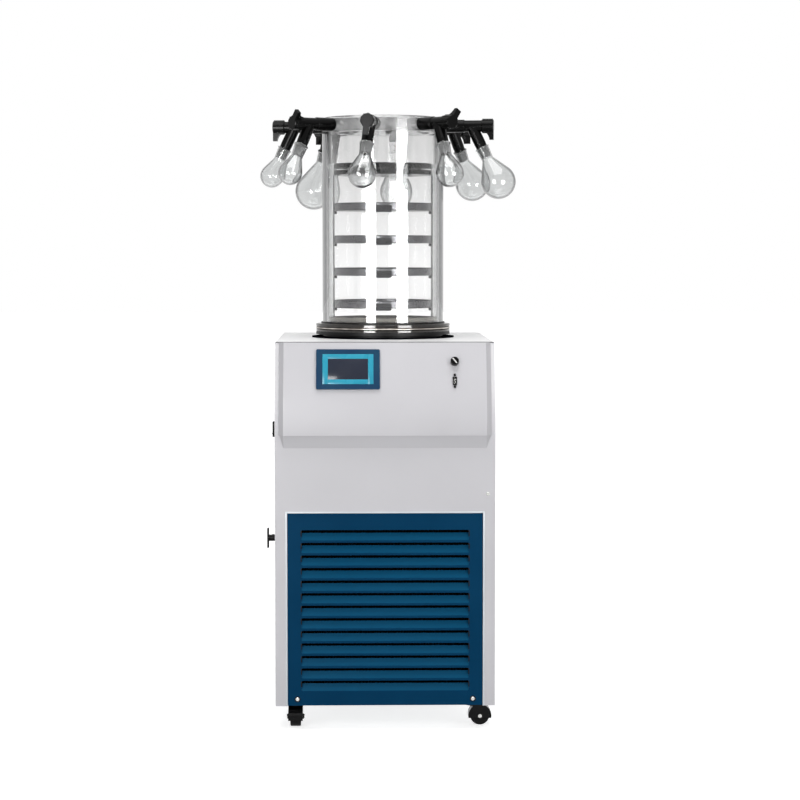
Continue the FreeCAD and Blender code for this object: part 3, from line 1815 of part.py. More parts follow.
os.makedirs("parts", exist_ok=True)
save("base_pan", base_pan())
save("cabinet_shell", cabinet_shell())
save("console_cover", console_cover())
save("top_panel", top_panel())
save("back_panel", back_panel())
save("louver_panel", louver_panel())
save("panel_screws", *panel_screws())
save("screen_bezel", screen_bezel())
save("screen_glass", screen_glass())
save("vent_knob", vent_knob())
save("data_port", data_port())
save("switch_bezel", switch_bezel())
save("switch_rocker", switch_rocker())
save("drain_valve_body", drain_valve_body())
save("drain_valve_handle", drain_valve_handle())
save("drain_line", drain_line())
save("power_inlet", power_inlet())
save("vacuum_line", vacuum_line())
save("cold_trap_well", cold_trap_well())
save("trap_insulation", trap_insulation())
save("trap_plate", trap_plate())
save("drum", drum())
save("drum_seals", *drum_seals())
save("manifold_head", manifold_head())
save("manifold_lid", manifold_lid())
save("rack_frame", rack_frame())
save("rack_caps", rack_caps())
save("trays", *[tray(number) for number in range(tray_count)])
save("condenser", condenser())
save("fan_shroud", fan_shroud())
save("fan_rotor", fan_rotor())
save("compressor", compressor())
save("refrigerant_lines", evaporator_coil(), *refrigerant_lines())
save("control_box", control_box())
save_casters()
save_manifold()
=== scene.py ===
import json
import math

import bmesh
import bpy
from mathutils import Matrix, Vector


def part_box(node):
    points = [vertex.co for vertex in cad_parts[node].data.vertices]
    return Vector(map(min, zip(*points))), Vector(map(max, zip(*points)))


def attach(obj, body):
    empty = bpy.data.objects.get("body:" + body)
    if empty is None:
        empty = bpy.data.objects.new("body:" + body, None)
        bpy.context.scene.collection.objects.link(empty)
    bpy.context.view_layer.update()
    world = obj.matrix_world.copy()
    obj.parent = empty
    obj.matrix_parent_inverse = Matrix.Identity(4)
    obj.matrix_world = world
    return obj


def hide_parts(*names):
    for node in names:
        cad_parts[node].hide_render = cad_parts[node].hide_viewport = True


# Looks for a floor-standing laboratory freeze dryer, in metres.
# +Z is up, -Y is the front, +X the right-hand side, and the drum's axis stands at x = y = 0.

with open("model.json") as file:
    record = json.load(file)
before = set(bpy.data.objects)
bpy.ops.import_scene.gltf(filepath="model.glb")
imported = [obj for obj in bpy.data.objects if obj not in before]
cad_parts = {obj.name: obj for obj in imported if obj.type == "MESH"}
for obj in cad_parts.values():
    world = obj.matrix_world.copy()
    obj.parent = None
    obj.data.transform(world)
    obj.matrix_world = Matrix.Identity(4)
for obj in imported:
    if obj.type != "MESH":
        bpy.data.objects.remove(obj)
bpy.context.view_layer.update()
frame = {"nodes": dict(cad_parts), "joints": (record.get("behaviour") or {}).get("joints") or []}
nodes = frame["nodes"]
joints = {joint["name"]: joint for joint in frame["joints"]}
mm = 0.001
branchCount = 8
casterCount = 4
still = Matrix.Identity(4)  # the place of pieces drawn straight in the object's frame


def linear(code):
    # sRGB hex to linear red, green, blue, alpha
    parts = [int(code[i:i + 2], 16) / 255 for i in (0, 2, 4)]
    return (*[p / 12.92 if p <= 0.04045 else ((p + 0.055) / 1.055) ** 2.4 for p in parts], 1.0)


def addNode(tree, kind, settings=None, inputs=None):
    # an input is a plain value, or another node's output to link
    node = tree.nodes.new("ShaderNode" + kind)
    for key, value in (settings or {}).items():
        setattr(node, key, value)
    for key, value in (inputs or {}).items():
        if isinstance(value, bpy.types.NodeSocket):
            tree.links.new(value, node.inputs[key])
        else:
            node.inputs[key].default_value = value
    return node


def startMaterial(name):
    material = bpy.data.materials.new(name)
    material.use_nodes = True
    tree = material.node_tree
    tree.nodes.clear()
    return material, tree, addNode(tree, "TexCoord").outputs["Object"]


# noise stays mostly within this span, which is stretched to the whole of a pattern
noiseSpan = {"From Min": 0.3, "From Max": 0.7}
detail = {"colour": 3.0, "gloss": 2.0, "relief": 2.0, "strokes": 3.0}
# how far each kind of surface drifts either way from its own roughness
drift = {"coat": 0.03, "moulding": 0.05, "metal": 0.06, "paint": 0.05, "zinc": 0.08}
# how far up a face has to look for its painted light from above to start, and to lie full
paintedUplightSpan = {"From Min": 0.15, "From Max": 0.55}


def colourDrift(tree, where, sizeMm, low, high):
    # slow clouds between two close colours, each cloud sizeMm across
    cloud = addNode(tree, "TexNoise", inputs={
        "Vector": where, "Scale": 1 / (sizeMm * mm), "Detail": detail["colour"],
    })
    share = addNode(tree, "MapRange", inputs={"Value": cloud.outputs["Fac"], **noiseSpan})
    colours = {0: share.outputs["Result"], 6: linear(low), 7: linear(high)}
    return addNode(tree, "Mix", {"data_type": "RGBA"}, colours).outputs[2]


def glossDrift(tree, where, sizeMm, middle, spread):
    # the same clouds as duller and glossier patches
    cloud = addNode(tree, "TexNoise", inputs={
        "Vector": where, "Scale": 1 / (sizeMm * mm), "Detail": detail["gloss"],
    })
    return addNode(tree, "MapRange", inputs={
        "Value": cloud.outputs["Fac"], **noiseSpan, "To Min": middle - spread, "To Max": middle + spread,
    }).outputs["Result"]


def fineRelief(tree, where, sizeMm, depthMm, strength):
    # small bumps, each sizeMm across
    grain = addNode(tree, "TexNoise", inputs={
        "Vector": where, "Scale": 1 / (sizeMm * mm), "Detail": detail["relief"],
    })
    return addNode(tree, "Bump", inputs={
        "Height": grain.outputs["Fac"], "Strength": strength, "Distance": depthMm * mm,
    }).outputs["Normal"]


def powderCoat(name, look):
    # baked powder or stoved enamel: satin, with a soft orange peel that blurs its highlights
    material, tree, where = startMaterial(name)
    colour = colourDrift(tree, where, look["cloudMm"], look["low"], look["high"])
    # painted light: faces that look up are painted lighter, as if lit from above
    normal = addNode(tree, "NewGeometry").outputs["True Normal"]
    upward = addNode(tree, "SeparateXYZ", inputs={"Vector": normal}).outputs["Z"]
    uplightShare = addNode(tree, "MapRange", inputs={"Value": upward, **paintedUplightSpan, "To Max": look["paintedUplight"]})
    uplightColours = {0: uplightShare.outputs["Result"], 6: colour, 7: linear(look["paintedUplightColour"])}
    shader = addNode(tree, "BsdfPrincipled", inputs={
        "Base Color": addNode(tree, "Mix", {"data_type": "RGBA"}, uplightColours).outputs[2],
        "Roughness": glossDrift(tree, where, look["cloudMm"], look["roughness"], drift["coat"]),
        "IOR": 1.5,
        "Specular IOR Level": look["gloss"],
        "Normal": fineRelief(tree, where, look["peelMm"], look["peelDepthMm"], look["peelStrength"]),
    })
    addNode(tree, "OutputMaterial", inputs={"Surface": shader.outputs[0]})
    return material


def polymerSkin(name, look):
    # moulded, cast, turned or printed: each way leaves its own grain, which breaks up the glints
    material, tree, where = startMaterial(name)
    shader = addNode(tree, "BsdfPrincipled", inputs={
        "Base Color": colourDrift(tree, where, look["cloudMm"], look["low"], look["high"]),
        "Roughness": glossDrift(tree, where, look["cloudMm"], look["roughness"], drift["moulding"]),
        "IOR": look["ior"],
        "Specular IOR Level": look["gloss"],
        "Transmission Weight": look.get("clear", 0.0),
        "Normal": fineRelief(tree, where, look["grainMm"], look["grainDepthMm"], look["grainStrength"]),
    })
    addNode(tree, "OutputMaterial", inputs={"Surface": shader.outputs[0]})
    return material


def brushedMetal(name, look):
    # belt brushed: fine lines along one way stretch the highlights across them
    material, tree, where = startMaterial(name)
    scales = tuple(1 / (size * mm) for size in look["strokeMm"])
    along = addNode(tree, "Mapping", inputs={"Vector": where, "Scale": scales}).outputs["Vector"]
    lines = addNode(tree, "TexNoise", inputs={
        "Vector": along, "Scale": 1.0, "Detail": detail["strokes"],
    }).outputs["Fac"]
    bump = addNode(tree, "Bump", inputs={
        "Height": lines, "Strength": look["strokeStrength"], "Distance": look["strokeDepthMm"] * mm,
    })
    dull = addNode(tree, "MapRange", inputs={
        "Value": lines, **noiseSpan,
        "To Min": look["roughness"] - drift["metal"], "To Max": look["roughness"] + drift["metal"],
    })
    shader = addNode(tree, "BsdfPrincipled", inputs={
        "Base Color": colourDrift(tree, where, look["cloudMm"], look["low"], look["high"]),
        "Metallic": 1.0,
        "Roughness": dull.outputs["Result"],
        "Normal": bump.outputs["Normal"],
    })
    addNode(tree, "OutputMaterial", inputs={"Surface": shader.outputs[0]})
    return material


def pressedTraySteel(name, look):
    # pressed stainless dulled by many cleanings, with painted shade that darkens the front pull
    material, tree, where = startMaterial(name)
    steel = colourDrift(tree, where, look["cloudMm"], look["low"], look["high"])
    # painted shade: the front pull, past the tray's wall, is darkened
    depth = addNode(tree, "SeparateXYZ", inputs={"Vector": where}).outputs["Y"]
    tabShadeShare = addNode(tree, "MapRange", inputs={
        "Value": depth, "From Min": -look["wallAt"], "From Max": -look["wallAt"] - look["fade"],
    })
    paintedTabShade = {0: tabShadeShare.outputs["Result"], 6: steel, 7: linear(look["paintedTabShade"])}
    shader = addNode(tree, "BsdfPrincipled", inputs={
        "Base Color": addNode(tree, "Mix", {"data_type": "RGBA"}, paintedTabShade).outputs[2],
        "Metallic": 1.0,
        "Roughness": glossDrift(tree, where, look["cloudMm"], look["roughness"], drift["metal"]),
        "Normal": fineRelief(tree, where, look["scuffMm"], look["scuffDepthMm"], look["scuffStrength"]),
    })
    addNode(tree, "OutputMaterial", inputs={"Surface": shader.outputs[0]})
    return material


def satinRack(name, look):
    # satin painted posts that read pale, with painted shade toward their outer edges, over a matt base plate
    # that reads darker
    material, tree, where = startMaterial(name)
    axes = addNode(tree, "SeparateXYZ", inputs={"Vector": where}).outputs
    # painted shade: each post darkens from its inner edge to its outer edge
    outward = addNode(tree, "Math", {"operation": "ABSOLUTE"}, {0: axes["X"]}).outputs[0]
    postShadeShare = addNode(tree, "MapRange", inputs={
        "Value": outward, "From Min": look["innerEdge"], "From Max": look["outerEdge"],
    })
    shades = {0: postShadeShare.outputs["Result"], 6: linear(look["high"]), 7: linear(look["low"])}
    satin = addNode(tree, "Mix", {"data_type": "RGBA"}, shades).outputs[2]
    base = addNode(tree, "MapRange", inputs={
        "Value": axes["Z"], "From Min": look["plateTop"] + look["fade"], "From Max": look["plateTop"],
    })
    gloss = addNode(tree, "MapRange", inputs={
        "Value": base.outputs["Result"], "To Min": look["gloss"], "To Max": 0.0,
    })
    matt = {0: base.outputs["Result"], 6: satin, 7: linear(look["plate"])}
    shader = addNode(tree, "BsdfPrincipled", inputs={
        "Base Color": addNode(tree, "Mix", {"data_type": "RGBA"}, matt).outputs[2],
        "IOR": 1.5,
        "Specular IOR Level": gloss.outputs["Result"],
        "Roughness": glossDrift(tree, where, look["cloudMm"], look["roughness"], drift["paint"]),
        "Normal": fineRelief(tree, where, look["scuffMm"], look["scuffDepthMm"], look["scuffStrength"]),
    })
    addNode(tree, "OutputMaterial", inputs={"Surface": shader.outputs[0]})
    return material


def spangledZinc(name, look):
    # hot-dip zinc: flat crystals a few millimetres across, each a slightly different grey
    material, tree, where = startMaterial(name)
    crystals = addNode(tree, "TexVoronoi", inputs={"Vector": where, "Scale": 1 / (look["spangleMm"] * mm)})
    shade = addNode(tree, "SeparateColor", inputs={"Color": crystals.outputs["Color"]}).outputs["Red"]
    greys = {0: shade, 6: linear(look["low"]), 7: linear(look["high"])}
    shader = addNode(tree, "BsdfPrincipled", inputs={
        "Base Color": addNode(tree, "Mix", {"data_type": "RGBA"}, greys).outputs[2],
        "Metallic": 1.0,
        "Roughness": addNode(tree, "MapRange", inputs={
            "Value": shade, "To Min": look["roughness"] - drift["zinc"],
            "To Max": look["roughness"] + drift["zinc"],
        }).outputs["Result"],
    })
    addNode(tree, "OutputMaterial", inputs={"Surface": shader.outputs[0]})
    return material


def smoothMetal(name, look):
    # drawn, rolled or plated: a smooth skin with soft stains
    material, tree, where = startMaterial(name)
    shader = addNode(tree, "BsdfPrincipled", inputs={
        "Base Color": colourDrift(tree, where, look["stainMm"], look["low"], look["high"]),
        "Metallic": 1.0,
        "Roughness": glossDrift(tree, where, look["stainMm"], look["roughness"], drift["metal"]),
    })
    addNode(tree, "OutputMaterial", inputs={"Surface": shader.outputs[0]})
    return material


def letLampsIn(tree, shader, shade):
    # lamp light passes straight through, so that the inside is lit without caustics
    lampWay = addNode(tree, "BsdfTransparent", inputs={"Color": linear(shade)})
    isShadow = addNode(tree, "LightPath").outputs["Is Shadow Ray"]
    mixed = addNode(tree, "MixShader", inputs={0: isShadow, 1: shader.outputs[0], 2: lampWay.outputs[0]})
    addNode(tree, "OutputMaterial", inputs={"Surface": mixed.outputs[0]})


def clearWall(name, look):
    # polished and clear: bright straight through, with painted shade that greys it where a thick wall is
    # seen edge on and darkens it towards its head
    material, tree, where = startMaterial(name)
    # painted shade: the wall turns darker from its foot towards its head
    height = addNode(tree, "SeparateXYZ", inputs={"Vector": where}).outputs["Z"]
    rise = addNode(tree, "MapRange", inputs={
        "Value": height, "From Min": look["paleBelow"], "From Max": look["shadeFullAbove"],
    })
    paintedHeightShade = {0: rise.outputs["Result"], 6: linear(look["clearFoot"]), 7: linear(look["shadedHead"])}
    clear = addNode(tree, "Mix", {"data_type": "RGBA"}, paintedHeightShade).outputs[2]
    # painted shade: the colour turns grey where the wall is seen edge on
    facing = addNode(tree, "LayerWeight", inputs={"Blend": 0.5}).outputs["Facing"]
    edge = addNode(tree, "MapRange", inputs={
        "Value": facing, "From Min": look["edgeFrom"], "From Max": look["edgeTo"],
    })
    walls = {0: edge.outputs["Result"], 6: clear, 7: linear(look["edge"])}
    shader = addNode(tree, "BsdfPrincipled", inputs={
        "Base Color": addNode(tree, "Mix", {"data_type": "RGBA"}, walls).outputs[2],
        "Roughness": glossDrift(tree, where, look["hazeMm"], look["roughness"], look["roughness"]),
        "IOR": look["ior"],
        "Transmission Weight": 1.0,
    })
    letLampsIn(tree, shader, look["shade"])
    return material


def blownGlass(name, look):
    # lamp-blown borosilicate: clear and faintly grey, with painted shade on its thin edges where seen edge
    # on, and a finely ground joint
    material, tree, where = startMaterial(name)
    # painted shade: the colour turns dark where the glass is seen edge on
    facing = addNode(tree, "LayerWeight", inputs={"Blend": 0.5}).outputs["Facing"]
    edge = addNode(tree, "MapRange", inputs={
        "Value": facing, "From Min": look["edgeFrom"], "From Max": look["edgeTo"],
    })
    walls = {0: edge.outputs["Result"], 6: linear(look["clear"]), 7: linear(look["edge"])}
    ground = addNode(tree, "Attribute", {"attribute_name": "ground"}).outputs["Fac"]
    frost = glossDrift(tree, where, look["frostMm"], look["frost"], look["frostDrift"])
    shader = addNode(tree, "BsdfPrincipled", inputs={
        "Base Color": addNode(tree, "Mix", {"data_type": "RGBA"}, walls).outputs[2],
        "Roughness": addNode(tree, "Math", {"operation": "MULTIPLY"}, {0: ground, 1: frost}).outputs[0],
        "IOR": look["ior"],
        "Transmission Weight": addNode(tree, "MapRange", inputs={
            "Value": ground, "To Min": 1.0, "To Max": 1.0 - look["veil"],
        }).outputs["Result"],
    })
    letLampsIn(tree, shader, look["shade"])
    return material


finishes = {
    # the peel is really about 1.5 mm wide, drawn 3 mm wide or more to show
    # in each coat the last two entries paint its upward faces lighter, as painted light from above
    "whiteCoat": powderCoat("powderCoatedWhiteSteel", {
        "low": "CFCED2", "high": "D4D3D7", "peelMm": 5.0, "cloudMm": 220, "peelStrength": 0.12,
        "peelDepthMm": 0.25, "roughness": 0.42, "gloss": 0.35, "paintedUplight": 0.8, "paintedUplightColour": "EFEFEF",
    }),
    "consoleCoat": powderCoat("powderCoatedConsoleSteel", {
        "low": "CAC9CD", "high": "CECDD1", "peelMm": 5.0, "cloudMm": 180, "peelStrength": 0.12,
        "peelDepthMm": 0.25, "roughness": 0.42, "gloss": 0.35, "paintedUplight": 0.0, "paintedUplightColour": "E2E2E3",
    }),
    "blueCoat": powderCoat("powderCoatedBlueSteel", {
        "low": "00385A", "high": "023D60", "peelMm": 5.0, "cloudMm": 160, "peelStrength": 0.15,
        "peelDepthMm": 0.25, "roughness": 0.36, "gloss": 0.04, "paintedUplight": 0.6, "paintedUplightColour": "0A5E84",
    }),
    "greyCoat": powderCoat("powderCoatedGreySteel", {
        "low": "A4A6A8", "high": "ADAFB0", "peelMm": 5.0, "cloudMm": 120, "peelStrength": 0.15,
        "peelDepthMm": 0.25, "roughness": 0.45, "gloss": 0.4, "paintedUplight": 0.3, "paintedUplightColour": "BDBDBD",
    }),
    "blackCoat": powderCoat("stovedBlackEnamel", {
        "low": "0B0B0C", "high": "121214", "peelMm": 6.0, "cloudMm": 90, "peelStrength": 0.2,
        "peelDepthMm": 0.3, "roughness": 0.3, "gloss": 0.5, "paintedUplight": 0.2, "paintedUplightColour": "4A4844",
    }),
    "casterCoat": powderCoat("stovedBlackCasterSteel", {
        "low": "040405", "high": "09090A", "peelMm": 3.0, "cloudMm": 25, "peelStrength": 0.25,
        "peelDepthMm": 0.12, "roughness": 0.2, "gloss": 0.12, "paintedUplight": 0.0, "paintedUplightColour": "4A4844",
    }),
    # pale bluish white, brighter than the cabinet's coat: a painted highlight
    "highlightTrimCoat": powderCoat("paintedHighlightTrimSteel", {
        "low": "DCE3E8", "high": "E3EAEE", "peelMm": 3.0, "cloudMm": 60, "peelStrength": 0.05,
        "peelDepthMm": 0.1, "roughness": 0.3, "gloss": 0.5, "paintedUplight": 0.0, "paintedUplightColour": "E2E2E3",
    }),
    # the grain of moulded pieces is really about 0.3 mm, drawn 1.2 mm or more to show
    "blackAbs": polymerSkin("mouldedBlackAbs", {
        "low": "040405", "high": "09090A", "grainMm": 1.5, "cloudMm": 30, "grainStrength": 0.2,
        "grainDepthMm": 0.05, "roughness": 0.3, "ior": 1.53, "gloss": 0.1,
    }),
    "blackNylon": polymerSkin("mouldedBlackNylon", {
        "low": "040404", "high": "090909", "grainMm": 2.4, "cloudMm": 30, "grainStrength": 0.12,
        "grainDepthMm": 0.05, "roughness": 0.22, "ior": 1.53, "gloss": 0.08,
    }),
    "blackRubber": polymerSkin("mouldedBlackRubber", {
        "low": "050506", "high": "0B0B0C", "grainMm": 2.0, "cloudMm": 25, "grainStrength": 0.3,
        "grainDepthMm": 0.08, "roughness": 0.4, "ior": 1.52, "gloss": 0.14,
    }),
    "wheelRubber": polymerSkin("mouldedWheelRubber", {
        "low": "070708", "high": "0E0E0F", "grainMm": 2.0, "cloudMm": 20, "grainStrength": 0.3,
        "grainDepthMm": 0.1, "roughness": 0.45, "ior": 1.52, "gloss": 0.1,
    }),
    "blueAbs": polymerSkin("mouldedBlueAbs", {
        "low": "0A3358", "high": "083F5C", "grainMm": 1.5, "cloudMm": 90, "grainStrength": 0.1,
        "grainDepthMm": 0.05, "roughness": 0.35, "ior": 1.53, "gloss": 0.15,
    }),
    "cyanOverlay": polymerSkin("printedCyanPolycarbonate", {
        "low": "2799B6", "high": "2EA2BE", "grainMm": 2.0, "cloudMm": 60, "grainStrength": 0.05,
        "grainDepthMm": 0.02, "roughness": 0.25, "ior": 1.58, "gloss": 0.2,
    }),
    "displayGlass": polymerSkin("bondedDisplayGlass", {
        "low": "23293A", "high": "2A2F3D", "grainMm": 30.0, "cloudMm": 60, "grainStrength": 0.02,
        "grainDepthMm": 0.02, "roughness": 0.12, "ior": 1.52, "gloss": 0.2,
    }),
    "whiteInk": polymerSkin("screenPrintedWhiteInk", {
        "low": "D8D8D6", "high": "E4E4E2", "grainMm": 2.0, "cloudMm": 10, "grainStrength": 0.1,
        "grainDepthMm": 0.02, "roughness": 0.5, "ior": 1.5, "gloss": 0.3,
    }),
    "smokedAcrylic": polymerSkin("turnedSmokedAcrylic", {
        "low": "2E2823", "high": "4A423B", "grainMm": 12.0, "cloudMm": 40, "grainStrength": 0.06,
        "grainDepthMm": 0.1, "roughness": 0.06, "ior": 1.49, "gloss": 0.5, "clear": 0.7,
    }),
    "fanPolymer": polymerSkin("mouldedFanPolymer", {
        "low": "141416", "high": "1D1D1F", "grainMm": 2.0, "cloudMm": 30, "grainStrength": 0.3,
        "grainDepthMm": 0.1, "roughness": 0.5, "ior": 1.5, "gloss": 0.4,
    }),
    # near-black felt: partly the filter's own colour, partly painted shade inside the louvre slots
    "feltAndSlotShade": polymerSkin("needledFeltAndSlotShade", {
        "low": "020406", "high": "04080C", "grainMm": 1.2, "cloudMm": 30, "grainStrength": 0.8,
        "grainDepthMm": 0.5, "roughness": 0.95, "ior": 1.5, "gloss": 0.05,
    }),
    "pouredFoam": polymerSkin("pouredPolyurethaneFoam", {
        "low": "D2BE86", "high": "E4D6A8", "grainMm": 3.0, "cloudMm": 40, "grainStrength": 0.8,
        "grainDepthMm": 0.8, "roughness": 0.9, "ior": 1.45, "gloss": 0.2,
    }),
    "siliconeHose": polymerSkin("extrudedSiliconeHose", {
        "low": "CFCFC6", "high": "DADAD2", "grainMm": 3.0, "cloudMm": 30, "grainStrength": 0.1,
        "grainDepthMm": 0.05, "roughness": 0.35, "ior": 1.41, "gloss": 0.5,
    }),
    # mid grey: painted shade in the seam at the top of the front
    "seamShadeGrey": polymerSkin("paintedSeamShade", {
        "low": "5C5C5E", "high": "6A6A6C", "grainMm": 3.0, "cloudMm": 60, "grainStrength": 0.2,
        "grainDepthMm": 0.1, "roughness": 0.5, "ior": 1.45, "gloss": 0.3,
    }),
    "trapPlate": polymerSkin("pressedBlackTrapPlate", {
        "low": "08090C", "high": "0E1014", "grainMm": 2.0, "cloudMm": 60, "grainStrength": 0.1,
        "grainDepthMm": 0.05, "roughness": 0.6, "ior": 1.5, "gloss": 0.0,
    }),
    # brush lines are really about 0.1 mm apart, drawn 1 mm apart to show
    "stainless": brushedMetal("brushedStainlessSteel", {
        "low": "C2C2C2", "high": "CFCFCE", "strokeMm": (40.0, 40.0, 1.2), "cloudMm": 90,
        "strokeStrength": 0.2, "strokeDepthMm": 0.02, "roughness": 0.3,
    }),
    "bandSteel": brushedMetal("rolledBandSteel", {
        "low": "8E8781", "high": "D8D2CB", "strokeMm": (30.0, 30.0, 1.0), "cloudMm": 30,
        "strokeStrength": 0.2, "strokeDepthMm": 0.02, "roughness": 0.2,
    }),
    "traySteel": pressedTraySteel("pressedTraySteel", {
        "low": "505052", "high": "5D5D5F", "paintedTabShade": "202022", "wallAt": 106.0 * mm, "fade": 1 * mm,
        "cloudMm": 60, "scuffMm": 2.0, "scuffDepthMm": 0.03, "scuffStrength": 0.2, "roughness": 0.3,
    }),
    "rackPaint": satinRack("satinPaintedRackSteel", {
        "low": "7E7E7E", "high": "9A9A9A", "innerEdge": 106 * mm, "outerEdge": 117 * mm,
        "plate": "55534E", "plateTop": 839.5 * mm, "fade": 1 * mm, "gloss": 0.5, "cloudMm": 60,
        "scuffMm": 4.0, "scuffDepthMm": 0.03, "scuffStrength": 0.1, "roughness": 0.4,
    }),
    # near-black steel: painted shade along the trays' top edges
    "rimShadeSteel": smoothMetal("rolledTrayRimShade", {
        "low": "1E1E1F", "high": "2A2A2B", "stainMm": 20.0, "roughness": 0.35,
    }),
    "finAluminium": brushedMetal("rolledFinAluminium", {
        "low": "BFC1C3", "high": "CDCFD0", "strokeMm": (1.0, 20.0, 20.0), "cloudMm": 50,
        "strokeStrength": 0.2, "strokeDepthMm": 0.02, "roughness": 0.35,
    }),
    "zincPan": spangledZinc("hotDipZincSheet", {
        "low": "A9ACAE", "high": "C4C7C9", "spangleMm": 9.0, "roughness": 0.4,
    }),
    "screwNickel": smoothMetal("platedScrewSteel", {
        "low": "B4B4B2", "high": "CFCFCC", "stainMm": 4.0, "roughness": 0.25,
    }),
    "copperPipe": smoothMetal("drawnCopperPipe", {
        "low": "B5683F", "high": "CE8A5E", "stainMm": 25.0, "roughness": 0.28,
    }),
    "acrylic": clearWall("castClearAcrylic", {
        "clearFoot": "FCFCFC", "shadedHead": "EAEAEA", "paleBelow": 0.95, "shadeFullAbove": 1.20,
        "edge": "2A2B2C", "edgeFrom": 0.54, "edgeTo": 0.64, "hazeMm": 60, "roughness": 0.004,
        "ior": 1.49, "shade": "E6E8E8",
    }),
    "headAcrylic": polymerSkin("turnedFrostedAcrylic", {
        "low": "D2D2D2", "high": "E2E2E2", "grainMm": 14.0, "cloudMm": 30, "grainStrength": 0.1,
        "grainDepthMm": 0.1, "roughness": 0.14, "ior": 1.49, "gloss": 0.5, "clear": 0.8,
    }),
    # the ground joint's grain is really under 0.1 mm, drawn 1 mm wide to show
    "flaskGlass": blownGlass("blownBorosilicateGlass", {
        "clear": "E4E5E5", "edge": "0F1011", "edgeFrom": 0.46, "edgeTo": 0.74, "frostMm": 1.0,
        "frost": 0.1, "frostDrift": 0.025, "veil": 0.12, "ior": 1.47, "shade": "D0D2D2",
    }),
}
print("finishes made:", len(finishes))

# CAD nodes keep their shape and take a better finish
nodeFinishes = {
    "whiteCoat": ["cabinet_shell", "top_panel", "back_panel"],
    "consoleCoat": ["console_cover"],
    "blueCoat": ["louver_panel"],
    "greyCoat": ["control_box"],
    "blackCoat": ["compressor"],
    "blueAbs": ["screen_bezel"],
    "cyanOverlay": ["screen_glass"],
    "blackAbs": [
        "vent_knob", "data_port", "switch_bezel", "switch_rocker", "power_inlet",
        "drain_valve_body", "drain_valve_handle",
    ],
    "blackNylon": ["valve_knob_%d" % (n + 1) for n in range(branchCount)] + ["rack_caps", "valve_bodies"],
    "blackRubber": ["drum_seals"],
    "wheelRubber": ["caster_wheel_%d" % (n + 1) for n in range(casterCount)],
    "casterCoat": ["caster_plates"] + ["caster_fork_%d" % (n + 1) for n in range(casterCount)],
    "fanPolymer": ["fan_rotor"],
    "pouredFoam": ["trap_insulation"],
    "siliconeHose": ["drain_line"],
    "stainless": ["cold_trap_well", "vacuum_line"],
    "traySteel": ["trays"],
    "rackPaint": ["rack_frame"],
    "finAluminium": ["condenser"],
    "zincPan": ["base_pan", "fan_shroud"],
    "screwNickel": ["panel_screws"],
    "copperPipe": ["refrigerant_lines"],
    "trapPlate": ["trap_plate"],
    "acrylic": ["drum", "manifold_lid"],
    "headAcrylic": ["manifold_head"],
    "flaskGlass": ["flask_%d" % (n + 1) for n in range(branchCount)],
}
for finish, names in nodeFinishes.items():
    for name in names:
        for holder in nodes[name].material_slots:
            holder.material = finishes[finish]
        if not nodes[name].material_slots:
            nodes[name].data.materials.append(finishes[finish])
print("finishes on nodes:", sum(len(names) for names in nodeFinishes.values()))


# the angle in degrees past which an edge stays sharp
creases = {"turned": 30, "sheet": 30, "rod": 40, "block": 50}
onAxis = 1e-7  # a smaller radius is a single point on the axis


def closeMesh(shape, name, crease):
    # smooth faces with sharp creases, as a mesh
    bmesh.ops.recalc_face_normals(shape, faces=shape.faces)
    for face in shape.faces:
        face.smooth = True
    for edge in shape.edges:
        if len(edge.link_faces) == 2 and edge.calc_face_angle() > math.radians(creases[crease]):
            edge.smooth = False
    mesh = bpy.data.meshes.new(name)
    shape.to_mesh(mesh)
    shape.free()
    return mesh


def addPiece(mesh, body, finish, stands=()):
    # the piece takes its mesh's name
    piece = bpy.data.objects.new(mesh.name, mesh)
    bpy.context.scene.collection.objects.link(piece)
    mesh.materials.append(finishes[finish])
    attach(piece, body)
    if stands:
        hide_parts(*stands)


def latheMesh(name, outline, segments, place):
    # turns a closed outline of (radius, height) round the Z axis, then puts it in place
    shape = bmesh.new()
    rings = []
    angles = [2 * math.pi * k / segments for k in range(segments)]
    for radius, height in outline:
        if radius < onAxis:
            rings.append([shape.verts.new(place @ Vector((0, 0, height)))])
        else:
            ring = [Vector((radius * math.cos(angle), radius * math.sin(angle), height)) for angle in angles]
            rings.append([shape.verts.new(place @ point) for point in ring])
    for first, second in zip(rings, rings[1:] + rings[:1]):
        if len(first) == 1 and len(second) == 1:
            continue
        for k in range(segments):
            after = (k + 1) % segments
            if len(first) == 1:
                shape.faces.new([first[0], second[after], second[k]])
            elif len(second) == 1:
                shape.faces.new([first[k], first[after], second[0]])
            else:
                shape.faces.new([first[k], first[after], second[after], second[k]])
    return closeMesh(shape, name, "turned")


def arcPoints(centre, radius, start, end, steps):
    # angles in degrees, counter-clockwise from the outward direction
    angles = [math.radians(start + (end - start) * k / steps) for k in range(steps + 1)]
    return [(centre[0] + radius * math.cos(angle), centre[1] + radius * math.sin(angle)) for angle in angles]


def blocksMesh(name, blocks, edge, place):
    # blocks with rounded edges, each given by its middle and its sizes
    shape = bmesh.new()
    for middle, sides in blocks:
        placed = place @ Matrix.Translation(middle) @ Matrix.Diagonal((*sides, 1.0))
        bmesh.ops.create_cube(shape, size=1.0, matrix=placed)
    bmesh.ops.bevel(shape, geom=list(shape.edges), offset=edge, segments=2, profile=0.5, affect="EDGES")
    return closeMesh(shape, name, "block")


def rodsMesh(name, rods, size):
    # short rods with eased ends, each given by its place and length along Z
    shape = bmesh.new()
    for place, length in rods:
        bmesh.ops.create_cone(shape, cap_ends=True, segments=size["sides"], radius1=size["radius"],
                              radius2=size["radius"], depth=length, matrix=place)
    ends = [e for e in shape.edges if any(len(face.verts) == size["sides"] for face in e.link_faces)]
    bmesh.ops.bevel(shape, geom=ends, offset=size["edge"], segments=2, profile=0.5, affect="EDGES")
    return closeMesh(shape, name, "rod")


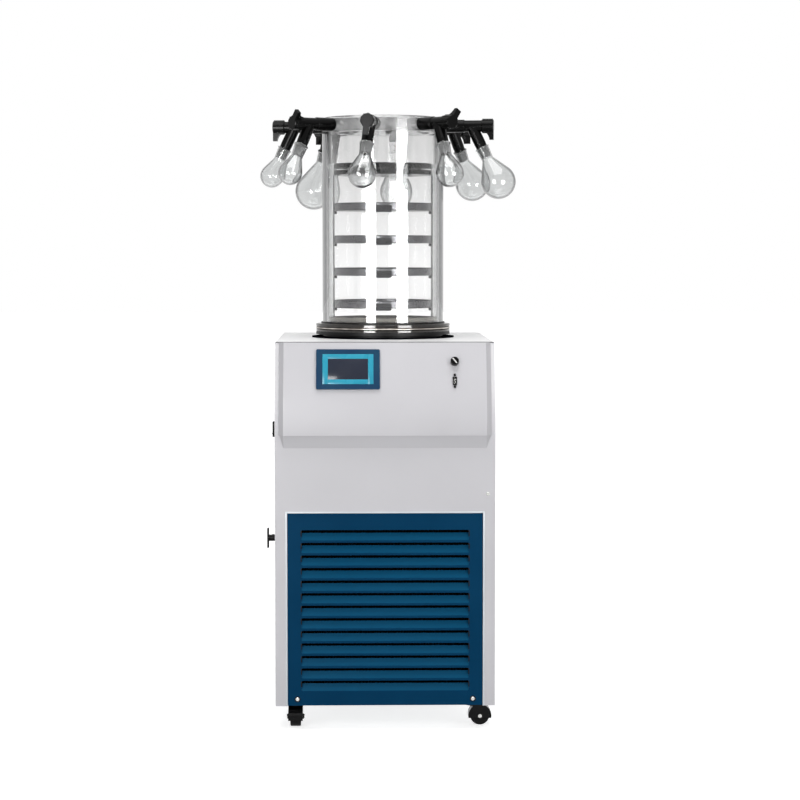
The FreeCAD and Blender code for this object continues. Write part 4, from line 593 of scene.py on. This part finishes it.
def framedPlace(middle, normal):
    # a frame whose Y axis runs into the surface and whose X axis stays level
    inward = -Vector(normal).normalized()
    level = Vector((0, 0, 1)).cross(inward).normalized() * -1
    upward = level.cross(inward)
    turn = Matrix((level, inward, upward)).transposed().to_4x4()
    return Matrix.Translation(middle) @ turn


# clear drum, with its dark bonded flange and the band round it
drumSizes = {
    "wall": 10 * mm, "flangeThick": 24 * mm, "edge": 2 * mm, "segments": 192, "edgeSteps": 5,
    "ringGap": 0.05 * mm, "grooveAt": 14 * mm, "grooveHalf": 3.2 * mm, "grooveDeep": 2.5 * mm,
    "bandRadius": 1.7143 * mm, "bandOut": 1.2 * mm, "bandSteps": 16,
    "footTall": 7 * mm, "footInset": 0.6 * mm,
}


def drumPieces(size):
    low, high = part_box("drum")
    segments = size["segments"]
    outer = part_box("manifold_head")[1].x
    bore = outer - size["wall"]
    tube = [(bore, low.z), (outer, low.z), (outer, high.z), (bore, high.z)]
    addPiece(latheMesh("clearDrum", tube, segments, still),
             "dryer_body", "acrylic", ["drum"])
    edge = size["edge"]
    reach = high.x - edge
    top = low.z + size["flangeThick"]
    groove = low.z + size["grooveAt"]
    root = high.x - size["grooveDeep"]
    footTop = low.z + size["footTall"]
    ring = [(outer + size["ringGap"], footTop + size["ringGap"]), (high.x, footTop + size["ringGap"])]
    ring += [(high.x, groove - size["grooveHalf"]), (root, groove - size["grooveHalf"] / 2)]
    ring += [(root, groove + size["grooveHalf"] / 2), (high.x, groove + size["grooveHalf"])]
    ring += arcPoints((reach, top - edge), edge, 0, 90, size["edgeSteps"])
    ring += [(outer + size["ringGap"], top)]
    addPiece(latheMesh("drumFlange", ring, segments, still),
             "dryer_body", "smokedAcrylic", ["drum"])
    footReach = high.x - size["footInset"]
    foot = [(outer + 2 * size["ringGap"], low.z), (footReach, low.z)]
    foot += [(footReach, footTop), (high.x - edge, footTop)]
    addPiece(latheMesh("flangeFoot", foot, segments, still),
             "dryer_body", "blackRubber", ["drum"])
    band = arcPoints((root + size["bandOut"], groove), size["bandRadius"], 0, 360, size["bandSteps"])[:-1]
    addPiece(latheMesh("flangeBand", band, segments, still),
             "dryer_body", "bandSteel", ["drum"])


drumPieces(drumSizes)
print("drum turned")

# flasks hang on the branches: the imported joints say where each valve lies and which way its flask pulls
flaskSizes = {
    "wall": 1.8 * mm, "rimRadius": 15.5 * mm, "rimTall": 3 * mm, "neckTop": 14.1 * mm, "neckLow": 12.5 * mm,
    "jointLength": 25 * mm, "neckEnd": 29 * mm, "blend": 8 * mm,
    "bulbs": ((58.5, 102), (58.5, 99), (75, 120), (75, 120), (84, 140), (84, 140), (51, 92), (51, 92)),
    "branchBeforeKnob": 21.5 * mm, "rimAlong": 51 * mm, "groundFrom": 0.1 * mm, "slack": 0.01 * mm,
    "segments": 72, "bulbSteps": 28, "neckSteps": 8, "beadSteps": 8,
}


def flaskHalf(size, bulbRadius, length, inset):
    # the outline from the neck down to the bottom of the bulb, height measured down from the rim
    centre = length - bulbRadius
    drop = centre - size["neckEnd"]
    cone = math.asin(bulbRadius / math.hypot(size["neckLow"], drop)) - math.atan2(size["neckLow"], drop)
    radius = bulbRadius - inset
    neck = size["neckLow"] - inset
    knee = centre - (radius - neck * math.cos(cone)) / math.sin(cone)
    blend = size["blend"] + inset
    cut = blend * math.tan(cone / 2)
    points = [(neck, size["jointLength"])]
    for k in range(size["neckSteps"] + 1):
        angle = cone * k / size["neckSteps"]
        points.append((neck + blend * (1 - math.cos(angle)), knee - cut + blend * math.sin(angle)))
    for k in range(size["bulbSteps"]):
        angle = -cone + (math.pi / 2 + cone) * k / size["bulbSteps"]
        points.append((radius * math.cos(angle), centre + radius * math.sin(angle)))
    return points + [(0.0, centre + radius)]


def flaskOutline(size, bulbRadius, length):
    bead = size["rimTall"] / 2
    outer = arcPoints((size["rimRadius"] - bead, bead), bead, -90, 90, size["beadSteps"])
    outer += [(size["neckTop"], size["rimTall"])] + flaskHalf(size, bulbRadius, length, 0)
    inner = flaskHalf(size, bulbRadius, length, size["wall"])[::-1]
    inner += [(size["neckTop"] - size["wall"], 0.0)]
    return [(radius, -depth) for radius, depth in outer + inner]


def flaskPlace(size, number):
    knob = joints["knob_%d_turn" % number]
    tabShadeShare = Vector(joints["flask_%d_pull" % number]["axis"])
    branch = Vector(knob["pos_m"]) - Vector(knob["axis"]).normalized() * size["branchBeforeKnob"]
    turn = tabShadeShare.to_track_quat("-Z", "Y").to_matrix().to_4x4()
    return Matrix.Translation(branch + tabShadeShare * size["rimAlong"]) @ turn


def blowFlask(size, number, bulb, length):
    place = flaskPlace(size, number)
    outline = flaskOutline(size, bulb / 2 * mm, length * mm)
    mesh = latheMesh("glassFlask%d" % number, outline, size["segments"], place)
    # the ground joint is marked on the mesh, which the glass reads for its frost
    inFrame = place.inverted()
    ground = mesh.attributes.new("ground", "FLOAT", "POINT")
    jointEnd = size["jointLength"] + size["slack"]
    for vertex in mesh.vertices:
        depth = -(inFrame @ vertex.co).z
        ground.data[vertex.index].value = float(size["groundFrom"] < depth < jointEnd)
    node = "flask_%d" % number
    addPiece(mesh, "hung_" + node, "flaskGlass", [node])


for number, (bulb, length) in enumerate(flaskSizes["bulbs"], 1):
    blowFlask(flaskSizes, number, bulb, length)
print("flasks blown")

# the vent knob's joint gives the slope of the console and a point on its face
consoleNormal = Vector(joints["vent_knob_turn"]["axis"]).normalized()
consolePoint = Vector(joints["vent_knob_turn"]["pos_m"])


def onConsole(x, height):
    rise = height - consolePoint.z
    depth = consolePoint.y - rise * consoleNormal.z / consoleNormal.y
    return framedPlace(Vector((x, depth, height)), consoleNormal)


# operator screen: a printed cyan surround with the display sunk in its window
screenSizes = {
    "wide": 104 * mm, "tall": 64 * mm, "thick": 1.5 * mm, "edge": 0.4 * mm, "windowEdge": 0.1 * mm,
    "windowWide": 81.8 * mm, "windowTall": 44 * mm, "sunk": 0.5 * mm, "overlap": 0.3 * mm,
}


def screenPieces(size):
    low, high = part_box("screen_glass")
    place = framedPlace((low + high) / 2, consoleNormal)
    side = (size["wide"] - size["windowWide"]) / 2
    end = (size["tall"] - size["windowTall"]) / 2
    bars = []
    for way in (-1, 1):
        bars.append(((way * (size["wide"] - side) / 2, 0, 0), (side, size["thick"], size["tall"])))
        bars.append(((0, 0, way * (size["tall"] - end) / 2), (size["windowWide"], size["thick"], end)))
    addPiece(blocksMesh("screenSurround", bars, size["edge"], place),
             "dryer_body", "cyanOverlay", ["screen_glass"])
    sides = (size["windowWide"] + size["overlap"], size["thick"] - size["sunk"],
             size["windowTall"] + size["overlap"])
    window = [((0, size["sunk"] / 2, 0), sides)]
    addPiece(blocksMesh("displayWindow", window, size["windowEdge"], place),
             "dryer_body", "displayGlass", ["screen_glass"])


screenPieces(screenSizes)

# printed pointer on the vent knob's bar
pointerSizes = {
    "length": 13 * mm, "wide": 2.4 * mm, "thick": 0.3 * mm, "edge": 0.1 * mm,
    "knobTop": 12 * mm, "lift": 0.1 * mm, "turn": 38,
}


def ventPointer(size):
    place = framedPlace(consolePoint + consoleNormal * (size["knobTop"] + size["lift"]), consoleNormal)
    place = place @ Matrix.Rotation(math.radians(-size["turn"]), 4, "Y")
    bar = ((0, 0, 0), (size["wide"], size["thick"], size["length"]))
    addPiece(blocksMesh("ventPointer", [bar], size["edge"], place), "vent_knob", "whiteInk")


ventPointer(pointerSizes)

# nine contacts in the data port, in a row of five and a row of four
contactSizes = {
    "x": 142 * mm, "height": 718 * mm, "pitch": 2.77 * mm, "rows": 2.84 * mm, "radius": 0.65 * mm,
    "length": 2.2 * mm, "sides": 12, "edge": 0.15 * mm,
}


def portContacts(size):
    face = onConsole(size["x"], size["height"])
    forward = Matrix.Rotation(math.radians(90), 4, "X")
    rods = []
    for count, side in ((5, -1), (4, 1)):
        for k in range(count):
            up = (k - (count - 1) / 2) * size["pitch"]
            at = Matrix.Translation((side * size["rows"] / 2, -size["length"] / 2, up))
            rods.append((face @ at @ forward, size["length"]))
    addPiece(rodsMesh("portContacts", rods, size), "dryer_body", "screwNickel")


portContacts(contactSizes)
print("console fitted out")

# pleated dust filter behind the louvres, near black, which also stands as painted shade inside the slots
filterSizes = {
    "halfWide": 186 * mm, "low": 78 * mm, "high": 440 * mm, "front": -334 * mm, "deep": 6 * mm,
    "thick": 1.5 * mm, "pleats": 62,
}


def filterAndSlotShade(size):
    shape = bmesh.new()
    columns = []
    steps = 2 * size["pleats"]
    for k in range(steps + 1):
        x = -size["halfWide"] + 2 * size["halfWide"] * k / steps
        front = size["front"] + (size["deep"] if k % 2 else 0.0)
        back = front + size["thick"]
        corners = ((front, size["low"]), (front, size["high"]), (back, size["high"]), (back, size["low"]))
        columns.append([shape.verts.new((x, depth, height)) for depth, height in corners])
    for first, second in zip(columns, columns[1:]):
        for k in range(4):
            after = (k + 1) % 4
            shape.faces.new([first[k], first[after], second[after], second[k]])
    shape.faces.new(columns[0])
    shape.faces.new(columns[-1][::-1])
    addPiece(closeMesh(shape, "filterAndSlotShade", "sheet"), "dryer_body", "feltAndSlotShade")


filterAndSlotShade(filterSizes)

# pale strip round the opening that the louvred panel sits in: a painted highlight on its rolled edge
panelLow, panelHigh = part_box("louver_panel")
highlightEdgeSizes = {
    "wide": 3.2 * mm, "proud": 1.0 * mm, "sunk": 0.1 * mm, "gap": 0.6 * mm, "edge": 0.45 * mm,
    "foot": 51 * mm,
}


def openingEdgeHighlight(size):
    wide = size["wide"]
    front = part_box("cabinet_shell")[0].y
    middleY = front - size["proud"] / 2 + size["sunk"]
    side = panelHigh.x + size["gap"] + wide / 2
    top = panelHigh.z + size["gap"] + wide
    bars = []
    for way in (-1, 1):
        middle = (way * side, middleY, (size["foot"] + top) / 2)
        bars.append((middle, (wide, size["proud"], top - size["foot"])))
    bars.append(((0, middleY, top - wide / 2), (2 * side - wide, size["proud"], wide)))
    addPiece(blocksMesh("openingEdgeHighlight", bars, size["edge"], still),
             "dryer_body", "highlightTrimCoat")


openingEdgeHighlight(highlightEdgeSizes)

# dark strips down the ends of the louvre blades: painted shade in the pressed ends
bladeShadeSizes = {
    "x": 171.6 * mm, "wide": 2.0 * mm, "tall": 12 * mm, "thick": 1.0 * mm, "proud": 0.25 * mm,
    "edge": 0.4 * mm, "first": 35 * mm, "pitch": 25.9 * mm, "rows": 13,
}


def bladeEndShades(size):
    bars = []
    for row in range(size["rows"]):
        top = panelHigh.z - size["first"] - row * size["pitch"]
        for way in (-1, 1):
            middle = (way * size["x"], panelLow.y - size["proud"], top - size["tall"] / 2)
            bars.append((middle, (size["wide"], size["thick"], size["tall"])))
    addPiece(blocksMesh("bladeEndShades", bars, size["edge"], still),
             "dryer_body", "blackRubber")


bladeEndShades(bladeShadeSizes)

# dark rings round the two lower panel screws: painted shade in the recesses round their heads
shadeRingSizes = {
    "x": 180 * mm, "lift": 13 * mm, "inner": 4.1 * mm, "outer": 6.2 * mm, "thick": 0.7 * mm,
    "edgeSteps": 4, "segments": 48,
}


def screwShadeRing(size, number, side):
    thick = size["thick"]
    outline = [(size["inner"], 0.0), (size["outer"], 0.0)]
    outline += arcPoints((size["outer"] - thick, 0.0), thick, 0, 90, size["edgeSteps"])[1:]
    outline += [(size["inner"], thick)]
    middle = Vector((side * size["x"], panelLow.y, panelLow.z + size["lift"]))
    place = Matrix.Translation(middle) @ Matrix.Rotation(math.radians(90), 4, "X")
    addPiece(latheMesh("screwShadeRing%d" % number, outline, size["segments"], place),
             "dryer_body", "blackAbs")


for number, side in enumerate((-1, 1), 1):
    screwShadeRing(shadeRingSizes, number, side)

# grey bead along the seam between the front and the top panel: painted shade in the seam
topLow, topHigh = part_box("top_panel")
seamShadeSizes = {
    "tall": 1.8 * mm, "deep": 1.6 * mm, "edge": 0.5 * mm, "inset": 1.0 * mm,
    "proudFront": 0.4 * mm, "proudTop": 0.45 * mm,
}


def topSeamShade(size):
    middle = (0, topLow.y - size["proudFront"], topHigh.z + size["proudTop"])
    bead = (middle, (2 * (topHigh.x - size["inset"]), size["deep"], size["tall"]))
    addPiece(blocksMesh("topSeamShade", [bead], size["edge"], still),
             "dryer_body", "seamShadeGrey")


topSeamShade(seamShadeSizes)
print("cabinet trimmed")

# on and off marks printed on the rocker
markSizes = {
    "reach": 6.2 * mm, "rise": 6 * mm, "lean": 11.5, "tilt": 9, "bar": 5 * mm, "line": 1.0 * mm,
    "ringOut": 2.6 * mm, "thick": 0.25 * mm, "edge": 0.08 * mm, "segments": 40,
}


def rockerMarks(size):
    pivot = Matrix.Translation(joints["power_rocker_tilt"]["pos_m"])
    rocker = pivot @ Matrix.Rotation(math.radians(size["tilt"]), 4, "Y")
    lean = math.radians(size["lean"])
    upper = rocker @ Matrix.Translation((-size["reach"], 0, size["rise"])) @ Matrix.Rotation(-lean, 4, "Y")
    lower = rocker @ Matrix.Translation((-size["reach"], 0, -size["rise"])) @ Matrix.Rotation(lean, 4, "Y")
    outward = Matrix.Rotation(math.radians(-90), 4, "Y")
    bar = ((0, 0, 0), (size["thick"], size["line"], size["bar"]))
    addPiece(blocksMesh("onMark", [bar], size["edge"], upper), "power_rocker", "whiteInk")
    ringIn = size["ringOut"] - size["line"]
    half = size["thick"] / 2
    ring = [(ringIn, -half), (size["ringOut"], -half), (size["ringOut"], half), (ringIn, half)]
    addPiece(latheMesh("offMark", ring, size["segments"], lower @ outward),
             "power_rocker", "whiteInk")


rockerMarks(markSizes)

# raised guard round the rocker
guardSizes = {"wall": 2.2 * mm, "out": 3.2 * mm, "edge": 0.5 * mm}


def switchGuard(size):
    low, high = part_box("switch_bezel")
    middle = (low + high) / 2
    deep = high.y - low.y
    tall = high.z - low.z
    guardX = low.x - size["out"] / 2
    wall = size["wall"]
    bars = []
    for way in (-1, 1):
        bars.append(((guardX, middle.y + way * (deep - wall) / 2, middle.z), (size["out"], wall, tall)))
        bars.append(((guardX, middle.y, middle.z + way * (tall - wall) / 2), (size["out"], deep, wall)))
    addPiece(blocksMesh("switchGuard", bars, size["edge"], still),
             "dryer_body", "blackAbs")


switchGuard(guardSizes)

# plated blades in the mains inlet
bladeSizes = {
    "wide": 2.3 * mm, "tall": 4.3 * mm, "length": 14 * mm, "spread": 7 * mm, "edge": 0.4 * mm,
    "pocket": 20 * mm, "rooted": 2 * mm,
}


def inletBlades(size):
    low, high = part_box("power_inlet")
    middle = (low + high) / 2
    middleY = high.y - size["pocket"] + size["length"] / 2
    sides = (size["wide"], size["length"] + size["rooted"], size["tall"])
    blades = []
    for step, rise in ((-1, -1), (0, 1), (1, -1)):
        place = (middle.x + step * size["spread"], middleY, middle.z + rise * size["tall"] / 2)
        blades.append((place, sides))
    addPiece(blocksMesh("inletBlades", blades, size["edge"], still),
             "dryer_body", "screwNickel")


inletBlades(bladeSizes)

# plated nuts on the casters' axle ends
nutSizes = {
    "radius": 4.4 * mm, "thick": 1.8 * mm, "axleEnd": 17 * mm, "sunk": 0.1 * mm, "sides": 6,
    "edge": 0.3 * mm,
}


def axleNuts(size, number):
    roll = joints["caster_roller_%d_roll" % number]
    axis = Vector(roll["axis"]).normalized()
    turn = axis.to_track_quat("Z", "Y").to_matrix().to_4x4()
    reach = size["axleEnd"] + size["thick"] / 2 - size["sunk"]
    nuts = []
    for way in (-1, 1):
        middle = Vector(roll["pos_m"]) + axis * way * reach
        nuts.append((Matrix.Translation(middle) @ turn, size["thick"]))
    addPiece(rodsMesh("axleNuts%d" % number, nuts, size),
             "caster_swivel_%d" % number, "screwNickel")


for number in range(1, casterCount + 1):
    axleNuts(nutSizes, number)

# where the rack's trays stand, measured up from the top panel
traySizes = {"first": 64 * mm, "pitch": 70 * mm, "count": 4, "tall": 16 * mm}
trayFloors = [topHigh.z + traySizes["first"] + row * traySizes["pitch"] for row in range(traySizes["count"])]

# soft black sleeves on the rack's pegs, just under the trays' ends
sleeveSizes = {
    "radius": 3.1 * mm, "length": 5.5 * mm, "drop": 3.2 * mm, "wallAt": 106 * mm, "sides": 20,
    "edge": 0.8 * mm,
}


def pegSleeves(size):
    sideways = Matrix.Rotation(math.radians(90), 4, "Y")
    sleeves = []
    for floorHeight in trayFloors:
        for way in (-1, 1):
            middle = (way * (size["wallAt"] - size["length"] / 2), 0, floorHeight - size["drop"])
            sleeves.append((Matrix.Translation(middle) @ sideways, size["length"]))
    addPiece(rodsMesh("pegSleeves", sleeves, size), "dryer_body", "blackRubber")


pegSleeves(sleeveSizes)

# rolled rims on the trays, painted dark as shade along the trays' top edges
rimSizes = {"radius": 1.0 * mm, "ringRadius": 105.2 * mm, "segments": 144, "steps": 10}


def trayRim(size, number, top):
    rim = arcPoints((size["ringRadius"], top), size["radius"], 0, 360, size["steps"])[:-1]
    addPiece(latheMesh("trayRim%d" % number, rim, size["segments"], still),
             "dryer_body", "rimShadeSteel")


for number, floorHeight in enumerate(trayFloors, 1):
    trayRim(rimSizes, number, floorHeight + traySizes["tall"])

# dark strips down the inner edges of the rack's posts: painted shade along those edges
postShadeSizes = {
    "innerEdge": 106.2 * mm, "wide": 1.8 * mm, "thick": 0.8 * mm, "foot": 44 * mm, "head": 351 * mm,
    "edge": 0.2 * mm, "postHalf": 10 * mm,
}


def postShadeStrips(size):
    front = -size["postHalf"] - size["thick"] / 2
    height = topHigh.z + (size["foot"] + size["head"]) / 2
    sides = (size["wide"], size["thick"], size["head"] - size["foot"])
    bars = [((way * (size["innerEdge"] + size["wide"] / 2), front, height), sides) for way in (-1, 1)]
    addPiece(blocksMesh("postShadeStrips", bars, size["edge"], still),
             "dryer_body", "blackRubber")


postShadeStrips(postShadeSizes)
print("fittings made")

studio = {
    "floorSize": 60.0, "floor": "D6D6D6", "openLight": 0.68, "nearRadius": 1.0, "farRadius": 2.6,
    "skyLight": 0.30,
    # each strip's bearing from the front in degrees, its width, its light and its gleam
    "strips": ((-22.7, 0.62, 4.6, 24.0), (35.3, 0.74, 3.9, 20.0)),
    "stripReach": 2.0, "stripTall": 0.9, "stripHeight": 1.02,
    "gleamNearer": 0.97, "gleamTall": 0.78, "gleamHeight": 0.96,
    "fills": (140, 220), "fillReach": 2.4, "fillSize": 1.2, "fillHeight": 1.0, "fillLight": 4.0,
    "topPlace": (0, -0.6, 3.0), "topAim": (0, -0.1, 0.8), "topSize": 1.8, "topPower": 41,
    "camera": (-0.060, -4.729, 0.981), "yaw": 1.18, "pitch": 3.93, "lens": 97.2, "sensor": 36.0,
}

floorMesh = bpy.data.meshes.new("floor")
shape = bmesh.new()
bmesh.ops.create_grid(shape, x_segments=1, y_segments=1, size=studio["floorSize"] / 2)
shape.to_mesh(floorMesh)
shape.free()
floor = bpy.data.objects.new("floor", floorMesh)
bpy.context.scene.collection.objects.link(floor)


def seenDirectly(tree):
    # 1 for what the eye sees, straight or in gloss and glass, and 0 for what lights the object
    rays = addNode(tree, "LightPath").outputs
    seen = addNode(tree, "Math", {"operation": "MAXIMUM"}, {
        0: rays["Is Camera Ray"], 1: rays["Is Glossy Ray"],
    })
    return addNode(tree, "Math", {"operation": "MAXIMUM"}, {
        0: seen.outputs[0], 1: rays["Is Transmission Ray"],
    }).outputs[0]


# pale matt floor that reads white in the open and keeps the soft shadow under the object
material, tree, where = startMaterial("paleMattFloor")
distance = addNode(tree, "VectorMath", {"operation": "LENGTH"}, {0: where}).outputs["Value"]
openShare = addNode(tree, "MapRange", inputs={
    "Value": distance, "From Min": studio["nearRadius"], "From Max": studio["farRadius"],
    "To Min": studio["openLight"], "To Max": 1.0,
})
glow = addNode(tree, "Math", {"operation": "MULTIPLY"}, {
    0: seenDirectly(tree), 1: openShare.outputs["Result"],
})
matt = addNode(tree, "BsdfDiffuse", inputs={"Color": linear(studio["floor"])})
white = addNode(tree, "Emission", inputs={"Color": (1, 1, 1, 1), "Strength": glow.outputs[0]})
both = addNode(tree, "AddShader", inputs={0: matt.outputs[0], 1: white.outputs[0]})
addNode(tree, "OutputMaterial", inputs={"Surface": both.outputs[0]})
floorMesh.materials.append(material)

world = bpy.data.worlds.new("studio")
bpy.context.scene.world = world
world.use_nodes = True
tree = world.node_tree
tree.nodes.clear()
strength = addNode(tree, "MapRange", inputs={
    "Value": seenDirectly(tree), "To Min": studio["skyLight"], "To Max": 1.0,
})
sky = addNode(tree, "Background", inputs={"Color": (1, 1, 1, 1), "Strength": strength.outputs["Result"]})
addNode(tree, "OutputWorld", inputs={"Surface": sky.outputs[0]})


def addLamp(name, place, aim, width, tall, power):
    light = bpy.data.lights.new(name, "AREA")
    light.shape = "RECTANGLE"
    light.size = width
    light.size_y = tall
    light.energy = power
    lamp = bpy.data.objects.new(name, light)
    bpy.context.scene.collection.objects.link(lamp)
    lamp.location = place
    lamp.rotation_euler = (Vector(aim) - Vector(place)).to_track_quat("-Z", "Y").to_euler()
    lamp.visible_camera = False
    return lamp


def roundAbout(bearing, reach, height):
    # a place on a circle about the object, its bearing in degrees from the front
    angle = math.radians(bearing)
    return (reach * math.sin(angle), -reach * math.cos(angle), height)


# two upright strip boxes in front: one of each pair lights, the other only gleams in gloss and glass
for number, (bearing, width, radiance, gleam) in enumerate(studio["strips"], 1):
    place = roundAbout(bearing, studio["stripReach"], studio["stripHeight"])
    # a lamp's power is its radiance times its area times pi
    power = radiance * math.pi * width * studio["stripTall"]
    lamp = addLamp("stripBox%d" % number, place, (0, 0, place[2]), width, studio["stripTall"], power)
    lamp.visible_glossy = False
    lamp.visible_transmission = False
    place = roundAbout(bearing, studio["stripReach"] * studio["gleamNearer"], studio["gleamHeight"])
    power = gleam * math.pi * width * studio["gleamTall"]
    lamp = addLamp("gleamBox%d" % number, place, (0, 0, place[2]), width, studio["gleamTall"], power)
    lamp.visible_diffuse = False
# two soft boxes behind keep the sides and the back at a plain level
for number, bearing in enumerate(studio["fills"], 1):
    place = roundAbout(bearing, studio["fillReach"], studio["fillHeight"])
    side = studio["fillSize"]
    power = studio["fillLight"] * math.pi * side ** 2
    lamp = addLamp("fillBox%d" % number, place, (0, 0, place[2]), side, side, power)
    lamp.visible_glossy = False
    lamp.visible_transmission = False
side = studio["topSize"]
addLamp("topBox", studio["topPlace"], studio["topAim"], side, side, studio["topPower"])

cameraData = bpy.data.cameras.new("camera")
cameraData.lens = studio["lens"]
cameraData.sensor_width = studio["sensor"]
camera = bpy.data.objects.new("camera", cameraData)
bpy.context.scene.collection.objects.link(camera)
camera.location = studio["camera"]
camera.rotation_euler = (math.radians(90 - studio["pitch"]), 0, math.radians(-studio["yaw"]))
bpy.context.scene.camera = camera
bpy.context.scene.view_settings.view_transform = "Standard"
print("studio set")
